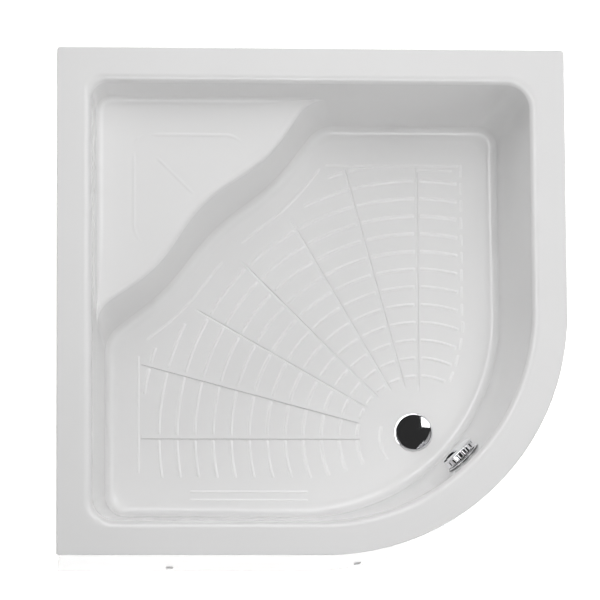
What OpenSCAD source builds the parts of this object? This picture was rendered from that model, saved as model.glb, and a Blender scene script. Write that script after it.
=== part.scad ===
// Quadrant corner tub with a seat, on a steel frame with five levelling feet.
// Millimetres, +Z up. The origin is the middle of the square plan, at floor level.
// The seat corner points to -X +Y and the curved front to +X -Y.

/* [Tub] */
// Side of the square plan
tub_size = 900; // [850:5:1000]
// Plan radius of the curved front edge
front_radius = 430; // [400:5:440]
// Height of the rim above the floor that the feet stand on
rim_height = 410; // [380:5:460]
// Depth of the basin below the rim
basin_depth = 280; // [240:5:285]
// Width of the flat rim on the straight sides
rim_width = 46; // [40:1:60]
// Width of the flat rim at the middle of the curved front
front_rim_width = 46; // [40:1:60]
// Plan radius of the curved front where the rim turns down
lip_arc_radius = 384; // [374:1:390]
// Plan radius of the curved front at the basin floor
floor_arc_radius = 354; // [345:1:365]
// Horizontal run of the straight walls from rim to floor
wall_run = 71; // [60:1:80]
// Horizontal run of the curved wall from rim to floor
front_run = 84; // [70:1:95]
// Radius where the rim turns down into the basin
lip_radius = 16; // [8:1:18]
// Radius between the walls and the basin floor
floor_fillet = 25; // [15:1:32]
// Height of the turned-down outer edge
skirt_height = 35; // [25:1:45]
// Radius along the outer edge of the rim
rim_edge_radius = 2.5; // [1.5:0.5:3.5]
// Thickness of the acrylic shell
shell_thickness = 4; // [3:0.5:5]
// Thickness of the fibreglass on its underside
glass_thickness = 2.7; // [2:0.1:4]

/* [Corners] */
// Inner corner radius above the seat
seat_corner_radius = 28; // [24:1:40]
// Inner corner radius at the other two corners
side_corner_radius = 45; // [30:1:55]
// The same two corners at the basin floor
floor_corner_radius = 32; // [25:1:45]
// Radius of the outer corners
outer_corner_radius = 6; // [4:1:12]

/* [Seat] */
// Drop from the rim to the seat
seat_drop = 102; // [80:1:130]
// Distance along the diagonal from the outer corner to the front edge of the seat
seat_reach = 362; // [330:1:375]
// The same distance at the foot of the seat front
seat_foot_reach = 431; // [420:1:450]
// How far the wavy edge swells forward
seat_wave = 19; // [0:1:24]
// How far the foot of the seat front swells forward
foot_wave = 12; // [0:1:20]
// Length of one wave
wave_length = 285; // [260:1:320]
// Radius between the seat and the walls behind it
seat_fillet = 15; // [8:1:18]
// Radius along the front edge of the seat
seat_edge_radius = 12; // [6:1:16]
// Length over which the seat front blends into the walls
seat_end_blend = 28; // [20:1:36]

/* [Tread] */
// Distance along the diagonal from the waste to the middle of the fan
fan_offset = 14; // [9:1:24]
// Radius of the first full arc
first_arc = 113; // [108:1:120]
// Spacing of the arcs
arc_pitch = 32.7; // [30:0.1:36]
// Number of arcs
arc_count = 13; // [10:1:13]
// Angle between the spokes
spoke_step = 15; // [10:5:30]
// Width of a rib
rib_width = 5; // [3:0.5:7]
// Height of a rib
rib_height = 1.2; // [0.8:0.1:2]
// Flat margin between the ribs and the edge of the floor
tread_margin = 48; // [44:1:60]

/* [Base] */
// Thickness of the board under the floor
board_thickness = 12; // [9:1:18]
// Thickness of the board under the seat
seat_board_thickness = 9; // [6:1:15]
// Outside width of the square frame tube
rail_size = 25; // [22:1:30]
// Wall of the frame tube
rail_wall = 1.5; // [1.2:0.1:2.5]
// Distance of the front rails from the middle of the plan
front_rail_offset = 100; // [90:1:110]
// Distance of the back rails from the middle of the plan
back_rail_offset = 240; // [220:1:260]
// Outside width of the posts under the rim
post_size = 20; // [18:1:24]
// Width of the timber battens under the rim
batten_width = 22; // [20:1:26]
// Height of the timber battens under the rim
batten_height = 25; // [18:1:30]
// Clear space between a batten and the outer edge of the rim
batten_inset = 24; // [23:1:27]

/* [Feet] */
// Diameter of the foot bolts
bolt_diameter = 10; // [8:1:12]
// Travel of the foot bolts for levelling
foot_travel = 18; // [10:1:19]
// Diameter of the foot pads
pad_diameter = 45; // [35:1:55]
// Height of the foot pads
pad_height = 12; // [10:1:16]

/* [Panel] */
// Thickness of the front panel
panel_thickness = 4; // [3:0.5:5]
// Gap between the panel and the floor
panel_lift = 12; // [8:1:25]
// Width of the turned-in bottom edge of the panel
panel_return = 18; // [12:1:24]

/* [Waste] */
// Distance along the diagonal from the curved front edge to the waste
waste_inset = 172; // [166:1:178]
// Diameter of the chrome flange
flange_diameter = 70; // [68:1:76]
// Diameter of the plug cap
plug_diameter = 64; // [60:1:66]
// Height of the dome of the plug cap
plug_dome = 3; // [2:0.5:9]
// Lift of the plug when the waste is open
plug_lift = 12; // [8:0.5:13]
// Diameter of the hole in the basin floor
waste_hole = 53; // [52:0.5:56]
// Outside diameter of the outlet pipe
outlet_diameter = 40; // [38:1:42]

/* [Overflow] */
// Drop from the rim to the middle of the overflow
overflow_drop = 75; // [70:1:90]
// Diameter of the knob
knob_diameter = 64; // [60:1:68]
// Thickness of the knob
knob_thickness = 14; // [11:0.5:17]
// Number of flutes round the knob
flute_count = 20; // [12:1:28]
// Outside diameter of the ribbed hose
hose_diameter = 25; // [23:1:27]
// Spacing of the ribs along the hose
hose_pitch = 6; // [5:0.5:9]
// Diameter of the control cable
cable_diameter = 5; // [4:0.5:6]

/* [Hidden] */

// Shared clearances, and how far a cut runs past the face it opens
seat_gap = 0.3;
running_gap = 0.05;
fit_gap = 0.1;
cut = 1;

// Levels of the tub
half = tub_size / 2;
floor_z = rim_height - basin_depth;
seat_z = rim_height - seat_drop;
glass_top = shell_thickness + seat_gap;
glass_bottom = glass_top + glass_thickness;
board_top_z = floor_z - glass_bottom;
rail_top_z = board_top_z - board_thickness;
rail_bottom_z = rail_top_z - rail_size;

// Plan of the rim opening and of the basin floor
lip_half = half - rim_width;
front_centre = half - front_radius;
front_edge_reach = front_centre * sqrt(2) + front_radius;
waste_reach = front_edge_reach - waste_inset;
lip_centre = (front_edge_reach - front_rim_width - lip_arc_radius) / sqrt(2);
floor_centre = (front_edge_reach - front_rim_width - front_run - floor_arc_radius) / sqrt(2);
corner_steps = 5;
front_steps = 20;
straight_steps = 11;
seat_corner_steps = 8;
wave_steps = 22;
blend_steps = 4;
ramp_steps = 4;

// Slope of the straight walls, tangent to the lip and to the floor fillet
wall_height = basin_depth - lip_radius - floor_fillet;
wall_slope = atan2(wall_run, wall_height)
  - asin((lip_radius + floor_fillet) / norm([wall_run, wall_height]));

// Slope of the seat front, tangent to its edge and to its foot fillet
front_height = seat_z - floor_z - seat_edge_radius - floor_fillet;
front_slope = atan2(seat_foot_reach - seat_reach, front_height)
  - asin((seat_edge_radius + floor_fillet) / norm([seat_foot_reach - seat_reach, front_height]));

function mix(a, b, t) = a + (b - a) * t;
function mirrored(p) = [-p[1], -p[0], p[2]];
function reversed(list) = [for (i = [len(list) - 1:-1:0]) list[i]];
function ramp(t) = let (s = min(max(t, 0), 1)) s * s * (3 - 2 * s);

// Inward distance of the straight wall at a height
function wall_inset(z) =
  lip_radius * cos(wall_slope) + (rim_height - lip_radius * (1 - sin(wall_slope)) - z) * tan(wall_slope);

// A plan outline is [half width, arc centre, arc radius, seat corner radius, side corner radius]
function outline_at(inset, grow) =
  let (s = inset / wall_run)
  [
    lip_half - inset + grow,
    mix(lip_centre, floor_centre, s),
    mix(lip_arc_radius, floor_arc_radius, s) + grow,
    seat_corner_radius + grow,
    mix(side_corner_radius, floor_corner_radius, s) + grow
  ];
function rim_outline(inset) =
  [half - inset, front_centre, front_radius - inset, outer_corner_radius, outer_corner_radius];

// Angle by which the sides lean out so that they meet the front arc smoothly
function side_lean(o) =
  atan2(o[0] + o[1], o[0] - o[1]) - acos(min(1, o[2] / norm([o[0] - o[1], o[0] + o[1]])));

// The outline from the top side round the front to the left side, as plan points
function side_corner(o) =
  let (lean = side_lean(o), cx = o[0] - o[4] * (1 - sin(lean)) / cos(lean))
  [for (i = [0:corner_steps])
    let (a = mix(90, lean, i / corner_steps))
    [cx + o[4] * cos(a), o[0] - o[4] + o[4] * sin(a)]];
function front_arc(o) =
  let (lean = side_lean(o))
  [for (i = [0:front_steps])
    let (a = mix(lean, -90 - lean, i / front_steps))
    [o[1] + o[2] * cos(a), -o[1] + o[2] * sin(a)]];
function round_front(o, z) =
  let (corner = [for (p = side_corner(o)) [p[0], p[1], z]])
  concat(corner, [for (p = front_arc(o)) [p[0], p[1], z]], reversed([for (p = corner) mirrored(p)]));

// The outline round the seat corner. The inward fillet f and the height zf fade out at its ends.
function seat_corner(o, z, f, zf, x_end) =
  let (
    r = o[3],
    top = [for (i = [straight_steps:-1:1])
      let (w = ramp((straight_steps - i) / ramp_steps))
      [mix(-o[0] + r, x_end, i / straight_steps), o[0] - f * w, mix(z, zf, w)]],
    arc = [for (i = [0:seat_corner_steps])
      let (a = mix(90, 180, i / seat_corner_steps))
      [-o[0] + r + (r - f) * cos(a), o[0] - r + (r - f) * sin(a), zf]]
  )
  concat([for (p = top) mirrored(p)], reversed(arc), reversed(top));

// The wavy front of the seat, in the distance u from the outer corner and v across
function wave(v, reach, swell) = reach + swell * (1 - cos(360 * v / wave_length)) / 2;
function wave_end(reach, swell, inset, v = 240, n = 12) =
  n == 0 ? v : wave_end(reach, swell, inset, wave(v, reach, swell) - sqrt(2) * inset, n - 1);
function diagonal_point(u, v, z) = [(u + v) / sqrt(2) - half, (v - u) / sqrt(2) + half, z];
function bend(a, b, c, t) = (1 - t) * (1 - t) * a + 2 * t * (1 - t) * b + t * t * c;
function seat_front(o, z, reach, swell) =
  let (
    v_end = wave_end(reach, swell, half - o[0]),
    v_wave = v_end - seat_end_blend,
    corner = diagonal_point(wave(v_end, reach, swell), v_end, z),
    on_wall = corner + [seat_end_blend, 0, 0],
    on_wave = diagonal_point(wave(v_wave, reach, swell), v_wave, z),
    top = [for (i = [0:blend_steps]) bend(on_wall, corner, on_wave, i / blend_steps)]
  )
  concat(
    [for (p = top) mirrored(p)],
    [for (i = [1:wave_steps - 1])
      let (v = mix(-v_wave, v_wave, i / wave_steps))
      diagonal_point(wave(v, reach, swell), v, z)],
    reversed(top)
  );

// Where the seat front runs into the walls, which the outlines above it share
seat_end_v = wave_end(seat_reach, seat_wave, half - lip_half + wall_inset(seat_z));
seat_end_x = diagonal_point(wave(seat_end_v, seat_reach, seat_wave), seat_end_v, 0)[0] + seat_end_blend;

// Profile steps. d is how far below the visible surface the ring lies.
lip_steps = 4;
fillet_steps = 3;
seat_fillet_z = seat_z + seat_fillet;
seat_fillet_inset = wall_inset(seat_fillet_z) + seat_fillet / cos(wall_slope);
edge_steps = 3;

function plain_ring(o, z) = concat(seat_corner(o, z, 0, z, seat_end_x), round_front(o, z));
function lip_ring(a, d) =
  plain_ring(
    outline_at(lip_radius * sin(a), d * sin(a)),
    rim_height - lip_radius + (lip_radius - d) * cos(a)
  );
function seat_fillet_ring(a, d) =
  let (
    z = seat_fillet_z - seat_fillet * sin(a),
    inset = wall_inset(z),
    o = outline_at(inset, d * cos(wall_slope)),
    f = seat_fillet_inset - seat_fillet * cos(a) - d * cos(a) - inset + d * cos(wall_slope),
    z_wall = z - d * sin(wall_slope)
  )
  concat(seat_corner(o, z_wall, f, z - d * sin(a), seat_end_x), round_front(o, z_wall));
function front_ring(z_wall, inset, normal, z, reach, swell) =
  let (o = outline_at(inset, normal[0]))
  concat(seat_front(o, z, reach, swell), round_front(o, z_wall - normal[1]));
function edge_ring(a, d) =
  let (
    top = seat_z - seat_edge_radius,
    z = top + (seat_edge_radius - d) * cos(a),
    z_wall = top + seat_edge_radius * cos(a) - (a == 0 ? seat_edge_radius * (1 - cos(30)) / 2 : 0),
    t = (seat_z - top - seat_edge_radius * cos(a)) / (seat_z - floor_z)
  )
  front_ring(
    z_wall, wall_inset(z_wall), d * [cos(wall_slope), sin(wall_slope)],
    z, seat_reach + (seat_edge_radius - d) * sin(a), mix(seat_wave, foot_wave, t)
  );
function foot_ring(a, d) =
  let (
    z_centre = floor_z + floor_fillet,
    rise = floor_fillet + d,
    wall_a = a * (90 - wall_slope) / 90,
    front_a = a * (90 - front_slope) / 90,
    inset = wall_run - floor_fillet * sin(wall_a)
  )
  front_ring(
    z_centre - floor_fillet * cos(wall_a), inset, d * [sin(wall_a), cos(wall_a)],
    z_centre - rise * cos(front_a), seat_foot_reach - rise * sin(front_a),
    mix(foot_wave, seat_wave, (1 - cos(front_a)) * floor_fillet / (seat_z - floor_z))
  );

// All rings of the basin from its floor to the start of the lip, d below the visible surface
function basin_rings(d) = concat(
  [for (i = [0:fillet_steps]) foot_ring(90 * i / fillet_steps, d)],
  [for (i = [edge_steps:-1:0]) edge_ring((90 - front_slope) * i / edge_steps, d)],
  [for (i = [fillet_steps:-1:0]) seat_fillet_ring(mix(wall_slope, 90, i / fillet_steps), d)],
  [for (i = [lip_steps:-1:0]) lip_ring((90 - wall_slope) * i / lip_steps, d)]
);

// A closed solid up one stack of rings and down another, with a fan to a middle point at each end.
// The quads going down are split like those going up, so that stacked skins run parallel.
module skin(up, edge, down) {
  rings = concat(up, edge, reversed(down));
  n = len(rings[0]);
  m = len(rings);
  turn = m - len(down);
  middle = [-lip_centre, lip_centre, 0] * -2;
  points = concat(
    [for (r = rings) each r],
    [[middle[0], middle[1], rings[0][n - 1][2]], [middle[0], middle[1], rings[m - 1][n - 1][2]]]
  );
  sides = [for (k = [0:m - 2], j = [0:n - 1])
    let (a = k * n + j, b = k * n + (j + 1) % n)
    each k < turn ? [[a, a + n, b], [b, a + n, b + n]] : [[a, b + n, b], [a, a + n, b + n]]];
  first_end = [for (j = [0:n - 1]) [m * n, j, (j + 1) % n]];
  last_end = [for (j = [0:n - 1]) [m * n + 1, (m - 1) * n + (j + 1) % n, (m - 1) * n + j]];
  polyhedron(points = points, faces = concat(sides, first_end, last_end), convexity = 10);
}

// Places along the diagonal from the seat corner to the curved front
module on_diagonal(reach, z = 0) {
  translate([reach / sqrt(2), -reach / sqrt(2), z])
    rotate([0, 0, -45])
      children();
}
module ring_of(outer, inner, low, high) {
  translate([0, 0, low])
    difference() {
      cylinder(r = outer, h = high - low, $fn = 96);
      translate([0, 0, -cut])
        cylinder(r = inner, h = high - low + 2 * cut, $fn = 96);
    }
}

// Overflow frame: on the wall, with +Z out of the wall into the basin
overflow_z = rim_height - overflow_drop;
overflow_s = wall_inset(overflow_z) / wall_run;
overflow_reach = front_edge_reach - front_rim_width - front_run * overflow_s;
front_lean = atan(tan(wall_slope) * front_run / wall_run);
overflow_hole = 52;
module at_overflow() {
  on_diagonal(overflow_reach, overflow_z)
    rotate([0, -90 + front_lean, 0])
      children();
}
module waste_holes() {
  on_diagonal(waste_reach, floor_z - board_thickness)
    cylinder(d = waste_hole, h = 2 * board_thickness, $fn = 96);
  at_overflow()
    translate([0, 0, -2 * board_thickness])
      cylinder(d = overflow_hole, h = 3 * board_thickness, $fn = 96);
}

// Anti-slip ribs of the floor: arcs about a point near the waste, parted by spokes
fan = (waste_reach + fan_offset) / sqrt(2);
fan_side = 75;
spoke_gap = 3;
spoke_start = 90;
module floor_plan(margin) {
  o = outline_at(wall_run + margin, 0);
  points = concat(seat_front(o, 0, seat_foot_reach + margin, foot_wave), round_front(o, 0));
  polygon([for (p = points) [p[0], p[1]]]);
}
module spokes(width) {
  for (a = [90:spoke_step:180])
    rotate([0, 0, a])
      translate([spoke_start, -width / 2])
        square([tub_size, width]);
}
module tread_plan() {
  intersection() {
    floor_plan(tread_margin);
    translate([-tub_size + fan + fan_side, -fan - fan_side])
      square(tub_size);
    translate([fan, -fan]) {
      difference() {
        for (i = [0:arc_count - 1])
          difference() {
            circle(first_arc + i * arc_pitch + rib_width / 2, $fn = 180);
            circle(first_arc + i * arc_pitch - rib_width / 2, $fn = 180);
          }
        spokes(rib_width + 2 * spoke_gap);
      }
      spokes(rib_width);
    }
  }
}

module tub_shell() {
  color("white")
    difference() {
      union() {
        skin(
          basin_rings(0),
          concat(
            [for (i = [0:2])
              let (a = 45 * i, e = rim_edge_radius)
              plain_ring(rim_outline(e * (1 - sin(a))), rim_height - e * (1 - cos(a)))],
            [plain_ring(rim_outline(0), rim_height - skirt_height)],
            [plain_ring(rim_outline(shell_thickness), rim_height - skirt_height)],
            [plain_ring(rim_outline(shell_thickness), rim_height - shell_thickness)]
          ),
          basin_rings(shell_thickness)
        );
        translate([0, 0, floor_z - rib_height])
          linear_extrude(2 * rib_height)
            tread_plan();
      }
      waste_holes();
    }
}

module fibreglass_backing() {
  reach = batten_inset - shell_thickness;
  color("burlywood")
    difference() {
      skin(
        basin_rings(glass_top),
        [for (d = [glass_top, glass_bottom]) plain_ring(rim_outline(reach), rim_height - d)],
        basin_rings(glass_bottom)
      );
      waste_holes();
    }
}

// Boards under the basin floor and under the seat
board_margin = 20;
board_hole = 130;
module board_plan() {
  difference() {
    floor_plan(board_margin);
    translate([waste_reach, -waste_reach] / sqrt(2))
      circle(d = board_hole, $fn = 96);
  }
}
module base_board() {
  color("peru")
    difference() {
      translate([0, 0, rail_top_z])
        linear_extrude(board_thickness)
          board_plan();
      screw_places()
        translate([0, 0, rail_top_z - cut])
          cylinder(d = screw_diameter + 2 * fit_gap, h = screw_bite + 2 * cut, $fn = 32);
    }
}
module seat_board() {
  side = lip_half - seat_fillet_inset - seat_fillet / 2;
  reach = seat_reach - seat_edge_radius;
  corner = reach * sqrt(2) - tub_size + side;
  color("peru")
    translate([0, 0, seat_z - glass_bottom - seat_board_thickness])
      linear_extrude(seat_board_thickness)
        polygon([[-side, side], [corner, side], [-side, -corner]]);
}

// Timber under the rim
batten_out = half - batten_inset;
batten_in = max(batten_out - batten_width, lip_half + seat_gap);
front_batten_in = max(batten_in, lip_centre + lip_arc_radius + seat_gap);
batten_top_z = rim_height - glass_bottom;
batten_bottom_z = batten_top_z - batten_height;
post_line = (batten_out + batten_in) / 2;
plate_length = 44;
plate_thickness = 3;
batten_spare = 4;
batten_end = front_rail_offset + plate_length / 2 + batten_spare;
module on_both_sides() {
  children();
  mirror([1, 1, 0])
    children();
}
module rim_battens() {
  color("wheat")
    difference() {
      translate([0, 0, batten_bottom_z]) {
        translate([-batten_out, batten_in, 0])
          cube([2 * batten_out, batten_out - batten_in, batten_height]);
        translate([-batten_out, -batten_out, 0])
          cube([batten_out - batten_in, batten_out + batten_in - seat_gap, batten_height]);
        translate([front_batten_in, -batten_end, 0])
          cube([batten_out - front_batten_in, batten_end + batten_in - seat_gap, batten_height]);
        translate([seat_gap - batten_in, -batten_out, 0])
          cube([batten_end + batten_in - seat_gap, batten_out - front_batten_in, batten_height]);
      }
      post_screw_places()
        translate([0, 0, batten_bottom_z - cut])
          cylinder(d = screw_diameter + 2 * fit_gap, h = screw_bite + 2 * cut, $fn = 32);
    }
}

// Square tube along X, open at both ends
module square_tube(length, size) {
  difference() {
    cube([length, size, size]);
    translate([-cut, rail_wall, rail_wall])
      cube([length + 2 * cut, size - 2 * rail_wall, size - 2 * rail_wall]);
  }
}
rail_lines = [back_rail_offset, -front_rail_offset];
foot_inset = 75;
foot_line = half - foot_inset;
foot_places = [
  [-back_rail_offset, back_rail_offset],
  [foot_line, back_rail_offset],
  [foot_line, -front_rail_offset],
  [front_rail_offset, -foot_line],
  [-back_rail_offset, -foot_line]
];
screw_diameter = 4.5;
screw_head = 9;
access_hole = 11;
screw_head_height = 3;
screw_bite = 9;
screw_line = 270;
screw_points = [
  [screw_line / 2, back_rail_offset], [screw_line, back_rail_offset],
  [-screw_line, -front_rail_offset], [-screw_line / 5, -front_rail_offset], [screw_line, -front_rail_offset],
  [-back_rail_offset, -screw_line], [front_rail_offset, -screw_line]
];
module screw_places() {
  for (p = screw_points)
    translate([p[0], p[1], 0])
      children();
}
module rail_holes() {
  for (p = foot_places)
    translate([p[0], p[1], rail_bottom_z - cut])
      cylinder(d = bolt_diameter + 2 * seat_gap, h = rail_wall + 2 * cut, $fn = 48);
  screw_places() {
    translate([0, 0, rail_bottom_z - cut])
      cylinder(d = access_hole, h = rail_wall + 2 * cut, $fn = 48);
    translate([0, 0, rail_top_z - rail_wall - cut])
      cylinder(d = screw_diameter + 2 * fit_gap, h = rail_wall + 2 * cut, $fn = 48);
  }
}
module frame_rails() {
  color("gray")
    difference() {
      for (y = rail_lines)
        translate([-rail_reach, y - rail_size / 2, rail_bottom_z])
          square_tube(2 * rail_reach, rail_size);
      rail_holes();
    }
}
module frame_cross_tubes() {
  spans = [
    [-rail_reach, -front_rail_offset - rail_size / 2],
    [-front_rail_offset + rail_size / 2, back_rail_offset - rail_size / 2],
    [back_rail_offset + rail_size / 2, rail_reach]
  ];
  color("gray")
    difference() {
      for (x = [-back_rail_offset, front_rail_offset], s = spans)
        translate([x + rail_size / 2, s[0], rail_bottom_z])
          rotate([0, 0, 90])
            square_tube(s[1] - s[0], rail_size);
      rail_holes();
    }
}

// Posts from the ends of the frame up to the battens, each with a plate for two screws
post_turns = [
  [post_line, back_rail_offset, 90], [post_line, -front_rail_offset, 90],
  [-post_line, back_rail_offset, 90], [-post_line, -front_rail_offset, 90],
  [-back_rail_offset, post_line, 0], [front_rail_offset, post_line, 0],
  [-back_rail_offset, -post_line, 0], [front_rail_offset, -post_line, 0]
];
module post_places() {
  for (p = post_turns)
    translate([p[0], p[1], 0])
      rotate([0, 0, p[2]])
        children();
}
module post_screw_places() {
  post_places()
    for (side = [-1, 1])
      translate([side * (plate_length + post_size) / 4, 0, 0])
        children();
}
module rim_posts() {
  color("gray")
    difference() {
      post_places() {
        translate([-post_size / 2, -post_size / 2, rail_top_z])
          difference() {
            cube([post_size, post_size, batten_bottom_z - plate_thickness - rail_top_z]);
            translate([rail_wall, rail_wall, -cut])
              cube([post_size - 2 * rail_wall, post_size - 2 * rail_wall, batten_bottom_z]);
          }
        translate([-plate_length / 2, -post_size / 2, batten_bottom_z - plate_thickness])
          cube([plate_length, post_size, plate_thickness]);
      }
      post_screw_places()
        translate([0, 0, batten_bottom_z - plate_thickness - cut])
          cylinder(d = screw_diameter + 2 * fit_gap, h = plate_thickness + 2 * cut, $fn = 32);
    }
}

// Fasteners
module wood_screw(grip) {
  translate([0, 0, -screw_head_height])
    cylinder(d1 = screw_head - screw_head_height, d2 = screw_head, h = screw_head_height, $fn = 48);
  cylinder(d = screw_diameter, h = grip + screw_bite, $fn = 48);
}
module frame_screws() {
  color("silver")
    screw_places()
      translate([0, 0, rail_top_z - rail_wall])
        wood_screw(rail_wall);
}
module post_screws() {
  color("silver")
    post_screw_places()
      translate([0, 0, batten_bottom_z - plate_thickness])
        wood_screw(plate_thickness);
}
nut_flats = bolt_diameter * 1.7;
nut_height = 8;
lock_nut_height = 6;
module hex_nut(height) {
  difference() {
    cylinder(d = nut_flats / cos(30), h = height, $fn = 6);
    translate([0, 0, -cut])
      cylinder(d = bolt_diameter + 2 * running_gap, h = height + 2 * cut, $fn = 48);
  }
}
module frame_nuts() {
  color("silver")
    for (p = foot_places)
      translate([p[0], p[1], rail_bottom_z - nut_height])
        hex_nut(nut_height);
}
module lock_nuts() {
  color("silver")
    for (p = foot_places)
      translate([p[0], p[1], rail_bottom_z - nut_height - lock_nut_height])
        hex_nut(lock_nut_height);
}

// Levelling feet. The bolts stay in both nuts over the whole travel.
pad_floor = 4;
pad_edge = 1;
bolt_spare = 3;
bolt_collar = 5;
module foot_bolt(i) {
  low = pad_floor + seat_gap;
  high = rail_bottom_z + foot_travel + bolt_spare;
  color("silver")
    translate([foot_places[i][0], foot_places[i][1], 0]) {
      translate([0, 0, low])
        cylinder(d = bolt_diameter, h = high - low, $fn = 48);
      translate([0, 0, pad_height + seat_gap])
        cylinder(d = nut_flats / cos(30), h = bolt_collar, $fn = 6);
    }
}
module foot_pad(i) {
  outer = pad_diameter / 2;
  color("dimgray")
    translate([foot_places[i][0], foot_places[i][1], 0])
      rotate_extrude($fn = 96)
        difference() {
          polygon([
            [0, 0], [outer - pad_edge, 0], [outer, pad_edge],
            [outer, pad_floor], [bolt_diameter, pad_height], [0, pad_height]
          ]);
          translate([-cut, pad_floor])
            square([bolt_diameter / 2 + fit_gap + cut, pad_height]);
        }
}
module foot_bolt_1() { foot_bolt(0); }
module foot_bolt_2() { foot_bolt(1); }
module foot_bolt_3() { foot_bolt(2); }
module foot_bolt_4() { foot_bolt(3); }
module foot_bolt_5() { foot_bolt(4); }
module foot_pad_1() { foot_pad(0); }
module foot_pad_2() { foot_pad(1); }
module foot_pad_3() { foot_pad(2); }
module foot_pad_4() { foot_pad(3); }
module foot_pad_5() { foot_pad(4); }

// Front panel, tucked behind the turned-down edge
panel_out = half - shell_thickness - 2 * seat_gap;
panel_in = panel_out - panel_thickness;
panel_end = half - shell_thickness - outer_corner_radius;
bracket_thickness = 3;
panel_top_z = batten_top_z - bracket_thickness;
bracket_width = 20;
bracket_leg = 38;
bracket_screw_z = rail_bottom_z + rail_size / 2;
bracket_swing = asin((front_rail_offset - front_centre) / (panel_in - front_centre));
bracket_x = panel_in - 2 * seat_gap - bracket_thickness;
bracket_corner = front_centre + (bracket_x - front_centre) * cos(bracket_swing)
  - bracket_width / 2 * sin(bracket_swing);
// The rails end under the outer faces of the posts, short of the brackets
rail_reach = min(post_line + post_size / 2, bracket_corner - seat_gap);
panel_screw_diameter = 5;
screw_cover = 14;
screw_cover_height = 3;
module panel_band(width, low, height) {
  translate([front_centre, -front_centre, low])
    rotate([0, 0, -90])
      rotate_extrude(angle = 90, $fn = 180)
        translate([panel_out - front_centre - width, 0])
          square([width, height]);
  on_both_sides()
    translate([panel_out - width, -front_centre, low])
      cube([width, panel_end + front_centre, height]);
}
module bracket_places() {
  on_both_sides() {
    translate([0, back_rail_offset, 0])
      children();
    translate([front_centre, -front_centre, 0])
      rotate([0, 0, -bracket_swing])
        translate([-front_centre, 0, 0])
          children();
  }
}
module front_panel() {
  color("white")
    difference() {
      union() {
        panel_band(panel_thickness, panel_lift, panel_top_z - panel_lift);
        panel_band(panel_return, panel_lift, panel_thickness);
        on_both_sides()
          translate([panel_out - panel_return, panel_end - panel_thickness, panel_lift])
            cube([panel_return, panel_thickness, panel_top_z - panel_lift]);
      }
      bracket_places()
        translate([panel_in - cut, 0, bracket_screw_z])
          rotate([0, 90, 0])
            cylinder(d = panel_screw_diameter + 2 * fit_gap, h = panel_thickness + 2 * cut, $fn = 48);
    }
}
module panel_brackets() {
  color("gray")
    bracket_places()
      difference() {
        union() {
          translate([bracket_x - bracket_leg, -bracket_width / 2, rail_bottom_z - bracket_thickness])
            cube([bracket_leg + bracket_thickness, bracket_width, bracket_thickness]);
          translate([bracket_x, -bracket_width / 2, rail_bottom_z - bracket_thickness])
            cube([bracket_thickness, bracket_width, rail_size + bracket_thickness]);
        }
        translate([bracket_x - cut, 0, bracket_screw_z])
          rotate([0, 90, 0])
            cylinder(d = panel_screw_diameter + 2 * fit_gap, h = bracket_thickness + 2 * cut, $fn = 48);
      }
}
module panel_screws() {
  grip = panel_thickness + 2 * bracket_thickness;
  color("white")
    bracket_places()
      translate([panel_out - grip, 0, bracket_screw_z])
        rotate([0, 90, 0]) {
          cylinder(d = panel_screw_diameter, h = grip + cut, $fn = 48);
          translate([0, 0, grip + fit_gap])
            cylinder(
              d1 = screw_cover,
              d2 = screw_cover - screw_cover_height,
              h = screw_cover_height,
              $fn = 64
            );
        }
}

// Waste, on the diagonal near the curved front
seal_thickness = 1;
flange_thickness = 2;
flange_edge = 0.6;
flange_slope = 3;
flange_top_z = floor_z + seal_thickness + flange_thickness;
tail_clearance = 1.5;
tail_wall = 2;
tail_length = 22;
tail_radius = waste_hole / 2 - tail_clearance;
tail_bore = tail_radius - tail_wall;
tail_bottom_z = floor_z - tail_length;
hub_radius = 7;
arm_width = 4;
stem_radius = 4;
body_lip = 13;
body_flange_radius = waste_hole / 2 + body_lip;
body_flange_thickness = 4;
lower_seal_thickness = 3;
body_top_z = board_top_z - lower_seal_thickness;
body_wall = 3;
body_radius = waste_hole / 2 + body_wall + 0.5;
chamber_radius = body_radius - body_wall;
outlet_radius = outlet_diameter / 2;
outlet_z = 52;
body_bottom_z = outlet_z - outlet_radius - 2 * body_wall;
port_drop_z = 36;
port_z = floor_z - port_drop_z;
port_wall = 2;
spigot_radius = hose_diameter / 2 - 3;
collar_radius = hose_diameter / 2 + 1.5;
collar_end = body_radius + 12;
spigot_length = 20;
module on_waste(z = 0) {
  on_diagonal(waste_reach, z)
    children();
}
module spider(outer, low) {
  translate([0, 0, low])
    difference() {
      union() {
        cylinder(r = hub_radius, h = arm_width, $fn = 64);
        for (a = [0:120:240])
          rotate([0, 0, a])
            translate([0, -arm_width / 2, 0])
              cube([outer, arm_width, arm_width]);
      }
      translate([0, 0, -cut])
        cylinder(r = stem_radius + running_gap, h = arm_width + 2 * cut, $fn = 64);
    }
}
module waste_flange() {
  outer = flange_diameter / 2;
  low = floor_z + seal_thickness;
  color("silver")
    on_waste() {
      rotate_extrude($fn = 128)
        polygon([
          [tail_bore, tail_bottom_z], [tail_radius, tail_bottom_z],
          [tail_radius, low], [outer - flange_edge, low],
          [outer, low + flange_edge], [outer - flange_slope, flange_top_z],
          [tail_bore + flange_edge, flange_top_z], [tail_bore, flange_top_z - flange_edge]
        ]);
      spider(tail_bore + tail_wall / 2, tail_bottom_z);
    }
}
module upper_waste_seal() {
  color("dimgray")
    on_waste()
      ring_of(flange_diameter / 2 - flange_edge, waste_hole / 2 + cut, floor_z, floor_z + seal_thickness);
}
module lower_waste_seal() {
  color("dimgray")
    on_waste()
      ring_of(body_flange_radius - cut, waste_hole / 2 + cut, body_top_z, board_top_z);
}

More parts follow.
